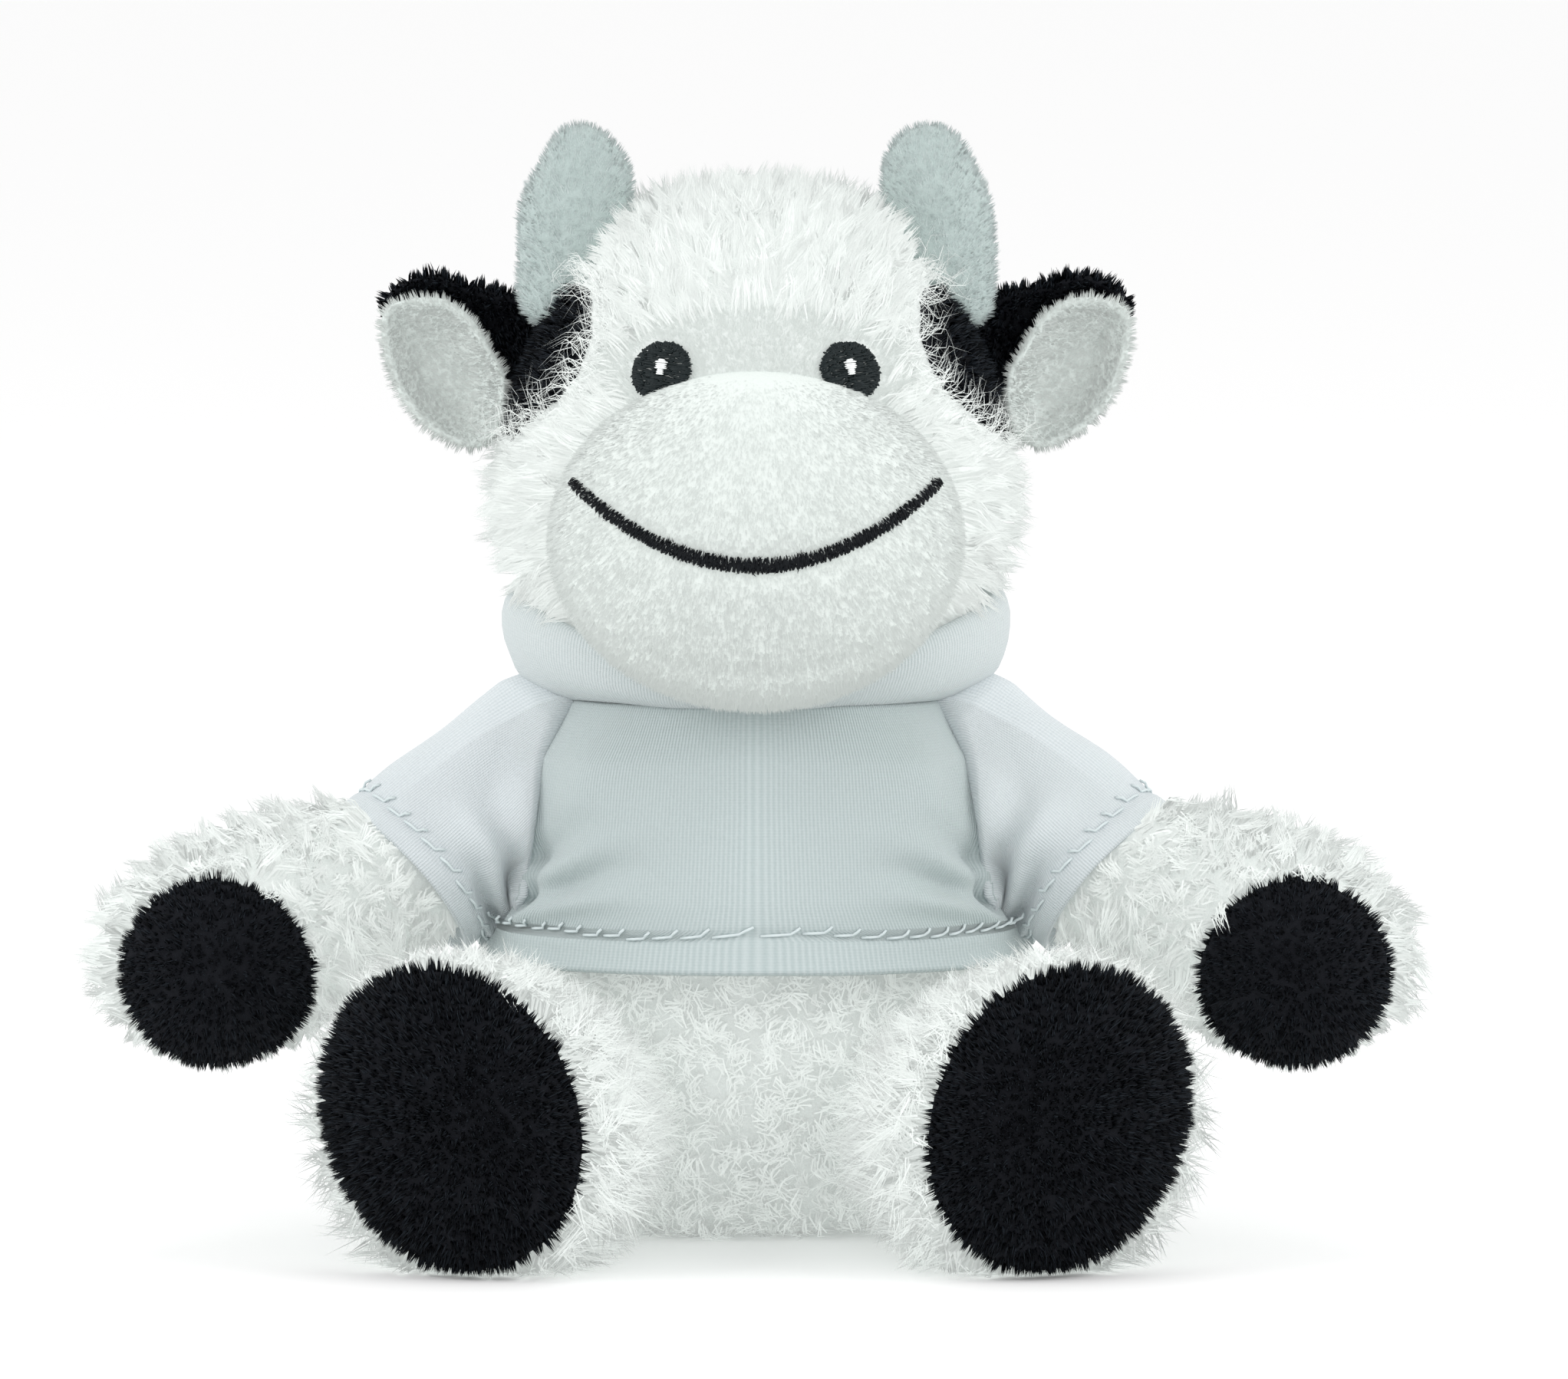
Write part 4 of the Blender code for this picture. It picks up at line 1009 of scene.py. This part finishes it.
for name, sign in sides:
    start = Vector((sign * shoulder_spacing / 2, -shoulder_forward, shoulder_height))
    ahead = Vector((sign * arm_aim.x, arm_aim.y, arm_aim.z))
    rings = round_rings(ball_ring_shares, arm_root, arm_root)
    rings += round_rings(arm_ring_shares, paw_reach, paw_width / 2)
    arm = loft(f"arm_plush_{name}", rings, 12, frame_along(start, ahead), 3, long_backing)
    lumped(arm, size=0.012, height=0.0006)
    pad = pad_form(f"hand_pad_plush_{name}", f"hand_pad_{name}", pad_swell, black_backing)
    paw = np.array(start + ahead * paw_reach)
    pad_middle = np.array(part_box(f"hand_pad_{name}")).mean(axis=0)
    mirror = np.array((sign, 1, 1))
    along_arm = np.array(ahead)
    cuff_place, cuff_way = np.array(cuff_middle) * mirror, np.array(cuff_aim) * mirror

    def past_cuff(points, normals):
        return ((points - cuff_place) @ cuff_way > -0.0008) * uncovered(points, normals, pad, pad_margin)

    def arm_flow(points, normals):
        near_cuff = np.clip(1 - ((points - cuff_place) @ cuff_way)[:, None] / 0.014, 0, 1)
        away = unit(points - paw)
        outwards = away * 0.3 * (1 - near_cuff) + along_arm * (0.40 + 0.7 * near_cuff)
        return outwards + np.array((0, -0.25, -0.05))

    def arm_trim(points, normals):
        """Long over the back of the hand, short under it."""
        return 1 - 0.55 * np.clip((-normals[:, 2] - 0.30) / 0.45, 0, 1)

    pile = plant_pile(f"arm_pile_{name}", arm, count=9500, length=(0.0046, 0.0070), width=0.00038,
                      materials=long_pile, seed=81, keep=past_cuff, lean=arm_flow, trim=arm_trim,
                      spread=0.36, tuft=18, pull=0.6, curl=0.22, droop=0.08, bends=(0.5,))

    def pad_front(points, normals):
        return (normals[:, 1] < 0.25).astype(float)

    pad_pile = plant_pile(f"hand_pad_pile_{name}", pad, count=6500, length=(0.0010, 0.0018), width=0.00030,
                          materials=black_fibre, seed=82, keep=pad_front, lean=nap_from(pad_middle),
                          spread=0.20, tuft=8, pull=0.5, bends=(), silky=False)
    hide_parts(f"arm_skin_{name}", f"arm_stuffing_{name}")
    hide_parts(f"hand_pad_{name}")
    sewn_to(f"arm_{name}", "white_long_pile", arm, pile)
    sewn_to(f"arm_{name}", "black_short_pile", pad, pad_pile)

# Legs
# Stuffed legs of the long white pile that reach forward along the floor, with a broad sole of black pile.
hip_spacing, hip_height, hip_forward, hip_radius = 0.0540, 0.0180, 0.0140, 0.0150
leg_length, foot_width, foot_height, foot_spacing = 0.0500, 0.0390, 0.0460, 0.0880
leg_ring_shares = (
    (0.06, 0.75, 0.64), (0.27, 0.68, 0.60), (0.72, 1.01, 0.96), (0.97, 0.98, 0.96), (1.08, 0.55, 0.55),
)
leg_slant, leg_sag = 0.15, 0.12
for name, sign in sides:
    start = Vector((sign * hip_spacing / 2, -hip_forward, hip_height))
    aim = Vector((sign * (foot_spacing - hip_spacing) / 2, 0, foot_height / 2 + body_base - hip_height))
    aim.y = -math.sqrt(leg_length**2 - aim.length_squared)
    ahead = aim.normalized()
    rings = round_rings(ball_ring_shares, hip_radius, hip_radius)
    rings += oval_rings(leg_ring_shares, leg_length, foot_width, foot_height)
    leg = loft(f"leg_plush_{name}", rings, 12, frame_along(start, ahead), 3, long_backing)
    pad = pad_form(f"foot_pad_plush_{name}", f"foot_pad_{name}", pad_swell, black_backing)
    for vert in leg.data.vertices:
        along = (vert.co - start).dot(ahead) / leg_length
        low = max(0.0, 1 - vert.co.z / foot_height) * max(0.0, min(1.0, (1 - along) / 0.25, along / 0.2))
        vert.co.x += (vert.co.x - start.x - ahead.x * leg_length * along) * leg_sag * low
    for piece in (leg, pad):
        for vert in piece.data.vertices:
            along = min(1.0, max(0.0, (vert.co - start).dot(ahead) / leg_length))
            vert.co.x += sign * leg_slant * along * (vert.co.z - foot_height / 2)
    sat_on_floor(lumped(leg, size=0.014, height=0.0007))
    sat_on_floor(pad)
    foot = np.array(start + ahead * leg_length)
    pad_middle = np.array(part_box(f"foot_pad_{name}")).mean(axis=0)
    along_leg = np.array(ahead)

    def off_sole(points, normals):
        reach = (points - np.array(start)) @ along_leg
        bare = uncovered(points, unit(normals + along_leg * 0.2), pad, pad_margin)
        return (reach > 0.004) * (points[:, 2] > floor_gap) * bare

    def leg_flow(points, normals):
        away = unit(points - foot)
        return away * 0.20 + along_leg * 0.22 + np.array((0, 0, -0.10))

    def leg_trim(points, normals):
        """Long at the sides, shorter on top where the top's hem rests."""
        return 1 + 0.12 * np.abs(normals[:, 0]) - 0.30 * np.clip(normals[:, 2], 0, 1)

    pile = plant_pile(f"leg_pile_{name}", leg, count=13500, length=(0.0058, 0.0084), width=0.00040,
                      materials=long_pile, seed=91, keep=off_sole, lean=leg_flow, trim=leg_trim,
                      spread=0.46, tuft=10, pull=0.5, curl=0.36, droop=0.05, bends=(0.5,))

    def sole_front(points, normals):
        return (normals @ along_leg > -0.1) * (points[:, 2] > 0.0008)

    pad_pile = plant_pile(f"foot_pad_pile_{name}", pad, count=14000, length=(0.0014, 0.0022), width=0.00032,
                          materials=black_fibre, seed=92, keep=sole_front, lean=nap_from(pad_middle),
                          spread=0.20, tuft=8, pull=0.5, bends=(), silky=False)
    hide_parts(f"leg_skin_{name}", f"leg_stuffing_{name}")
    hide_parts(f"foot_pad_{name}")
    sewn_to(f"leg_{name}", "white_long_pile", leg, pile)
    sewn_to(f"leg_{name}", "black_short_pile", pad, pad_pile)

# Tail
# A cord of short white pile with a tuft of black pile at its end, sewn low on the back.
tail_place, tail_droop = Vector((0, body_depth / 2, 0.0160)), math.radians(24)
tail_aim = Vector((0, math.cos(tail_droop), -math.sin(tail_droop)))
tail_root, tail_radius, tail_length = 0.0032, 0.0026, 0.015
tail_rings = round_rings(ball_ring_shares, tail_root, tail_root)
tail_rings += [(reach, tail_radius, tail_radius) for reach in (tail_radius, tail_length)]
tail = loft("tail_plush", tail_rings, 10, frame_along(tail_place, tail_aim), 2, short_backing)
tuft_start = 0.0115
tuft_spans = ((0.0, 0.0022), (0.0045, 0.0052), (0.0098, 0.0044), (0.013, 0.0012))
tuft_rings = [(along, radius, radius) for along, radius in tuft_spans]
tuft_frame = frame_along(tail_place + tail_aim * tuft_start, tail_aim)
tail_tuft = loft("tail_tuft_plush", tuft_rings, 10, tuft_frame, 2, black_backing)


tail_flow = leaning(*np.array(tail_aim) * 0.9)
tail_pile = plant_pile("tail_pile", tail, count=2600, length=(0.0010, 0.0017), width=0.00024,
                       materials=short_pile, seed=95, lean=tail_flow, spread=0.3, tuft=7, pull=0.3,
                       bends=(), sunk=0.0003)
tuft_pile = plant_pile("tail_tuft_pile", tail_tuft, count=2200, length=(0.0040, 0.0070), width=0.00032,
                       materials=black_fibre, seed=96, lean=tail_flow, spread=0.28, tuft=14, pull=0.6,
                       curl=0.12, bends=(0.5,), silky=False)
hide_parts("tail")
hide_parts("tail_tuft")
sewn_to("tail", "white_short_pile", tail, tail_pile)
sewn_to("tail", "black_short_pile", tail_tuft, tuft_pile)

# Front and back of the top
# Two panels of fine single jersey, joined at the sides and sewn to the sleeves along slanting seams. The
# hem is turned up 5 mm and held by a blind stitch.
knit_pitch = 0.0005


def jersey_look(name, furrow, ridge):
    """Single jersey with its wales and courses, in the shades of its furrows and ridges."""
    jersey = Look(name, 0.85, Sheen_Weight=0.25)
    knit_map = jersey.add("ShaderNodeUVMap", {"uv_map": "knit"})
    knit_across = jersey.add("ShaderNodeSeparateXYZ", None, {0: knit_map}, "X")
    knit_along = jersey.add("ShaderNodeSeparateXYZ", None, {0: knit_map}, "Y")
    waver = jersey.noise(60, 2.0, knit_map) * 0.8
    wale = (knit_across * (2 * math.pi / knit_pitch) + waver).sine()
    course = (knit_along * (2 * math.pi / (knit_pitch * 0.8))).sine()
    fuzz = jersey.noise(2500, 3.0)
    knit = wale * 0.36 + course * 0.10 + fuzz * 0.4 + 0.30
    jersey.set("Base Color", jersey.blend(knit, furrow, ridge))
    jersey.bump(knit, 0.00012)
    return jersey.material


# Painted shade: the panels take a darker copy of the jersey's colours than the sleeves and hood, though the
# real top is one cloth.
shaded_panel_jersey = jersey_look("shaded_panel_jersey", furrow=(0.415, 0.485, 0.488), ridge=(0.520, 0.582, 0.585))

waist_heights = (0.0405, 0.0448, 0.0500, 0.0600, 0.0700, 0.0780)
waist_half_widths = (0.0398, 0.0392, 0.0386, 0.0368, 0.0336, 0.0288)
waist_half_depths = (0.0348, 0.0338, 0.0334, 0.0318, 0.0290, 0.0240)
raglan_heights = (0.0448, 0.0462, 0.0500, 0.0600, 0.0700, 0.0780)
raglan_turns = (90, 66, 60, 62, 64, 65)
hem_level, armpit_level, neck_level = 0.0405, 0.0448, 0.0780
hem_band = 0.005
chest_squareness = 0.77


def top_radii(height):
    wide = np.interp(height, waist_heights, waist_half_widths)
    deep = np.interp(height, waist_heights, waist_half_depths)
    return wide, deep


def top_place(turn, height, lift=0.0):
    """A place on the top's body, by its angle from the front, its height and how far it stands off."""
    wide, deep = top_radii(height)
    side, ahead = math.sin(turn), math.cos(turn)
    return Vector((
        (wide + lift) * math.copysign(abs(side) ** chest_squareness, side),
        -(deep + lift) * math.copysign(abs(ahead) ** chest_squareness, ahead),
        height,
    ))


def seam_turn(height):
    """The angle from the front at which the front panel ends."""
    return math.radians(np.interp(height, raglan_heights, raglan_turns))


def crease(across, height, line, depth, breadth):
    """How far a soft crease, which fades along a line of places, sinks the cloth and lifts it beside."""
    spot = Vector((across, height))
    off, spent = 1.0, 0.0
    for index, (first, second) in enumerate(zip(line, line[1:])):
        run = Vector(second) - Vector(first)
        share = min(1.0, max(0.0, (spot - Vector(first)).dot(run) / run.length_squared))
        gap = (spot - Vector(first) - run * share).length
        if gap < off:
            off, spent = gap, (index + share) / (len(line) - 1)
    wide = breadth * (1 + spent)
    lip = 0.5 * math.exp(-(((off - 2 * wide) / wide) ** 2))
    return depth * (1 - spent) * (math.exp(-((off / wide) ** 2)) - lip)


panel_creases = (
    (((0.0344, 0.0500), (0.0315, 0.0553), (0.0275, 0.0597), (0.0230, 0.0634)), 0.0032, 0.0012),
    (((0.0350, 0.0485), (0.0290, 0.0517), (0.0220, 0.0545), (0.0150, 0.0562)), 0.0026, 0.0011),
    (((0.0330, 0.0560), (0.0300, 0.0630), (0.0275, 0.0700), (0.0255, 0.0750)), 0.0013, 0.0014),
    (((0.0345, 0.0470), (0.0270, 0.0478), (0.0190, 0.0487), (0.0120, 0.0490)), 0.0009, 0.0012),
)
panel_swells = (
    ((0.0, 0.0610), (0.0120, 0.0100), -0.0026),
    ((0.0250, 0.0680), (0.0070, 0.0065), 0.0014),
    ((0.0240, 0.0490), (0.0110, 0.0030), 0.0008),
)


def stitch_line(across, facing):
    """The height of the hem's row of stitches, which wavers a little."""
    return hem_level + hem_band + 0.0004 * math.sin(across * 160 + facing)


def panel_fold(across, height, facing):
    """Soft creases that run from each armpit, the slack between them and the hem's turned-up band."""
    lift = 0.0
    for line, depth, breadth in panel_creases:
        lift -= crease(abs(across), height, line, depth, breadth)
    for (middle, level), (half_width, half_height), depth in panel_swells:
        aside, above = (abs(across) - middle) / half_width, (height - level) / half_height
        lift += depth * math.exp(-(aside**2 + above**2))
    row = stitch_line(across, facing)
    lift -= 0.00045 * math.exp(-((height - row) / 0.0007) ** 2)
    lift += 0.0010 * max(0.0, (row - height) / hem_band) ** 1.5
    lift += 0.0009 * noise.noise(Vector((across * 70, facing * 3, height * 50)))
    return lift


def cloth_grid(name, rows, columns, place_at, knit_at, material):
    """A sheet of cloth from a grid, with its knit laid out in metres on a UV map."""
    bm = bmesh.new()
    bmesh.ops.create_grid(bm, x_segments=columns, y_segments=rows, size=0.5)
    layer = bm.loops.layers.uv.new("knit")
    for face in bm.faces:
        for loop in face.loops:
            loop[layer].uv = knit_at(loop.vert.co.x + 0.5, loop.vert.co.y + 0.5)
    for vert in bm.verts:
        vert.co = place_at(vert.co.x + 0.5, vert.co.y + 0.5)
    return new_piece(name, bm, material)


def with_wall(piece, thickness):
    shell = piece.modifiers.new("cloth", "SOLIDIFY")
    shell.thickness = thickness
    shell.offset = -1
    return applied(piece)


cloth_thickness = 0.0009
panels = (("front", 1), ("back", -1))
for name, facing in panels:
    def panel_height(along):
        return hem_level + (neck_level - hem_level) * along

    def panel_place(across, along):
        height = panel_height(along)
        limit = seam_turn(height) if height > armpit_level else math.pi / 2
        turn = limit * (2 * across - 1)
        flat = top_place(turn, height)
        lift = panel_fold(flat.x, height, facing) * min(1.0, 14 * (1 - abs(2 * across - 1)))
        place = top_place(turn, height, lift)
        return Vector((place.x, place.y * facing, place.z))

    def panel_knit(across, along):
        return ((across - 0.5) * 0.080, along * (neck_level - hem_level))

    panel = cloth_grid(f"top_{name}", rows=70, columns=150, place_at=panel_place, knit_at=panel_knit,
                       material=shaded_panel_jersey)
    with_wall(panel, cloth_thickness)
    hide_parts(f"hoodie_{name}")
    sewn_to("torso", "white_jersey", panel)

# Hem stitches
# A blind stitch in white thread: long floats along the band, each caught up by a short slanting one.
float_course = (
    (0.05, 0.0, 0.0001), (0.38, 0.0001, 0.0004), (0.72, 0.0002, 0.0001), (0.85, 0.0007, 0.0004),
    (0.98, 0.0012, 0.0001),
)
seam_thread = Look("seam_thread", 0.6, (0.66, 0.73, 0.74), Specular_IOR_Level=0.3)


def blind_stitches(name, count, place_at):
    """Stitches along a row, where place_at takes a share of the row, a rise across it and a lift."""
    bm = bmesh.new()
    for step in range(count):
        wander = rng.uniform(-0.0002, 0.0002)
        path = [place_at((step + share) / count, rise + wander, lift) for share, rise, lift in float_course]
        run_thread(bm, path, [0.00021] * len(path), 6)
    return new_piece(name, bm, seam_thread.material)


rng = np.random.default_rng(101)
for name, facing in panels:
    def on_hem(share, rise, lift):
        turn = math.radians(-74 + 148 * share)
        across = top_place(turn, hem_level + hem_band).x
        height = stitch_line(across, facing) + rise
        place = top_place(turn, height, panel_fold(across, height, facing) + lift)
        return Vector((place.x, place.y * facing, place.z))

    hem = blind_stitches(f"hem_stitches_{name}", count=26, place_at=on_hem)
    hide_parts(f"hem_thread_{name}")
    sewn_to("torso", "white_thread", hem)

# Sleeves
# Raglan sleeves of the same jersey, from the neck and the slanting seams to a stitched cuff. Each is one
# tube.
# Painted light: the sleeves take the lightest copy of the jersey's colours, standing for the light that
# falls on them.
lit_sleeve_jersey = jersey_look("lit_sleeve_jersey", furrow=(0.570, 0.625, 0.645), ridge=(0.695, 0.740, 0.760))
cuff_radius, sleeve_ball, sleeve_bend = 0.0139, 0.0186, 0.025
sleeve_length, cuff_band = 0.030, 0.0033
seam_tuck, seam_depth = 0.035, 0.0011
sleeve_creases = (
    (((0.0348, 0.0490), (0.0358, 0.0560), (0.0373, 0.0630), (0.0392, 0.0700)), 0.0024, 0.0013),
    (((0.0376, 0.0465), (0.0405, 0.0540), (0.0455, 0.0590), (0.0505, 0.0625)), 0.0022, 0.0013),
)


def joined(piece, eases=0):
    """Joins the edges of a sheet that meet, and can ease its inside."""
    bm = bmesh.new()
    bm.from_mesh(piece.data)
    bmesh.ops.remove_doubles(bm, verts=bm.verts, dist=0.00001)
    eased(bm, [vert for vert in bm.verts if not vert.is_boundary], eases)
    bmesh.ops.recalc_face_normals(bm, faces=bm.faces)
    bm.to_mesh(piece.data)
    bm.free()
    return piece


def seam_loop(share, sign):
    """The sleeve's sewn edge, tucked under the panels: down the front seam, up the back one and across
    the neck."""
    front_end, back_end = 0.44, 0.88
    if share < front_end:
        height = neck_level + (armpit_level - neck_level) * (share / front_end)
        turn = seam_turn(height) - seam_tuck
    elif share < back_end:
        height = armpit_level + (neck_level - armpit_level) * ((share - front_end) / (back_end - front_end))
        turn = math.pi - seam_turn(height) + seam_tuck
    else:
        height = neck_level
        edge = seam_turn(neck_level) - seam_tuck
        turn = math.pi - edge + (2 * edge - math.pi) * (share - back_end) / (1 - back_end)
    place = top_place(turn, height, -seam_depth)
    return Vector((place.x * sign, place.y, place.z))


for name, sign in sides:
    start = Vector((sign * shoulder_spacing / 2, -shoulder_forward, shoulder_height))
    ahead = Vector((sign * arm_aim.x, arm_aim.y, arm_aim.z))
    cuff_place = Vector((sign * cuff_middle.x, *cuff_middle.yz))
    cuff_frame = frame_along(cuff_place, Vector((sign * cuff_aim.x, *cuff_aim.yz)))
    cuff_ahead = cuff_frame.col[2].xyz

    def cuff_loop(share):
        """Round the cuff in step with the seam: the front seam's start is at the top front."""
        turn = math.radians(62) - 2 * math.pi * share
        out = Vector((-math.cos(turn) if sign > 0 else math.cos(turn), math.sin(turn), 0))
        ripple = 1 + 0.02 * math.sin(3 * turn + 1)
        return cuff_frame @ (out * cuff_radius * ripple)

    def sleeve_place(across, along):
        low = seam_loop(across % 1.0, sign)
        high = cuff_loop(across)
        outward = (low - start - ahead * 0.008).normalized()
        first = low + Vector((sign * 0.004, 0, 0)) + outward * 0.004
        second = high - cuff_ahead * 0.010
        rest = 1 - along
        place = low * rest**3 + first * 3 * along * rest**2
        place += second * 3 * along * along * rest
        place += high * along**3
        share = min(1.0, max(0.0, (place - start).dot(ahead) / sleeve_bend))
        nearest = start + ahead * share * sleeve_bend
        room = sleeve_ball + (cuff_radius - 0.0012 - sleeve_ball) * share
        off = place - nearest
        if off.length < room and 0.02 < along < 0.98:
            push = (room - off.length) * min(1.0, 6 * along * rest)
            place = nearest + off.normalized() * (off.length + push)
        slack = math.sin(math.pi * along)
        fold = 0.0007 * math.sin(2 * math.pi * (5 * across + 0.6 * along)) * slack
        fold += 0.0009 * noise.noise(place * 80) * slack
        if place.y < nearest.y:
            for line, depth, breadth in sleeve_creases:
                off_seam, off_cuff = min(1.0, 8 * along), min(1.0, 6 * rest)
                fold -= crease(abs(place.x), place.z, line, depth, breadth) * off_seam * off_cuff
        fold -= 0.0004 * math.exp(-((rest * sleeve_length - cuff_band) / 0.0006) ** 2)
        return place + off.normalized() * fold

    def sleeve_knit(across, along):
        return (across * 0.100, along * 0.034)

    sleeve = cloth_grid(f"top_sleeve_{name}", rows=60, columns=140, place_at=sleeve_place,
                        knit_at=sleeve_knit, material=lit_sleeve_jersey)
    with_wall(joined(sleeve), cloth_thickness)
    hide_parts(f"sleeve_{name}")
    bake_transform(sleeve)

    def on_cuff(share, rise, lift):
        along = 1 - (cuff_band + rise) / sleeve_length
        flat, ahead_of = sleeve_place(share, along), sleeve_place(share, along - 0.04)
        beside = sleeve_place(share + 0.01, along)
        out = (beside - flat).cross(ahead_of - flat).normalized()
        middle = start + ahead * 0.02
        return flat + out * (lift if out.dot(flat - middle) > 0 else -lift)

    cuff_stitches = blind_stitches(f"cuff_stitches_{name}", count=22, place_at=on_cuff)
    sewn_to(f"arm_{name}", "white_thread", cuff_stitches)

# Hood
# The hood stands up round the head's base as a soft cowl, low under the chin and full at the sides,
# and its rest lies folded down the back.
hood_low = 0.0774
hood_section_shares = (
    (0.00, 0.00), (0.30, 0.00), (0.62, 0.07), (0.88, 0.26), (1.00, 0.52), (1.00, 0.78), (0.92, 0.97),
    (0.78, 1.00), (0.66, 0.88), (0.60, 0.62), (0.52, 0.38), (0.34, 0.22), (0.16, 0.14),
)


def hood_place(turn, out_share, up_share):
    """A place on the hood by its angle from the front and its place in the section."""
    side, ahead = math.sin(turn), math.cos(turn)
    front = (1 + ahead) / 2
    behind = max(0.0, -ahead) ** 2
    seam_out = math.hypot(side * 0.0520, ahead * 0.0450) / 2
    full_out = 0.0374 * side**2 + (0.0300 * front + 0.0374 * (1 - front)) * ahead**2
    span = (full_out - seam_out) * (0.45 + 0.55 * (1 - front**4)) + 0.0100 * behind * up_share
    rise = 0.0035 + 0.0130 * (1 - front**4) - 0.0030 * behind
    drop = 0.0180 * behind * (1 - abs(2 * up_share - 1)) if out_share > 0.7 else 0.0
    ruffle = 0.0008 * noise.noise(Vector((side * 3, ahead * 3, up_share * 2 + out_share)))
    out = seam_out + span * out_share + ruffle
    return Vector((side * out, -ahead * out, hood_low + rise * up_share - drop))


def hood_at(across, along):
    turn = 2 * math.pi * across
    spot = along * (len(hood_section_shares) - 1)
    low = min(int(spot), len(hood_section_shares) - 2)
    rest = spot - low
    (out_a, up_a), (out_b, up_b) = hood_section_shares[low : low + 2]
    return hood_place(turn, out_a + (out_b - out_a) * rest, up_a + (up_b - up_a) * rest)


def hood_knit(across, along):
    return (across * 0.21, along * 0.04)


# Painted light: the hood takes a copy of the jersey's colours lighter than the panels' and darker than the
# sleeves'.
lit_hood_jersey = jersey_look("lit_hood_jersey", furrow=(0.485, 0.545, 0.550), ridge=(0.600, 0.645, 0.650))
hood = cloth_grid("top_hood", rows=24, columns=120, place_at=hood_at, knit_at=hood_knit,
                  material=lit_hood_jersey)
with_wall(joined(hood, eases=2), cloth_thickness)
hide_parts("hood_left", "hood_right")
sewn_to("torso", "white_jersey", hood)
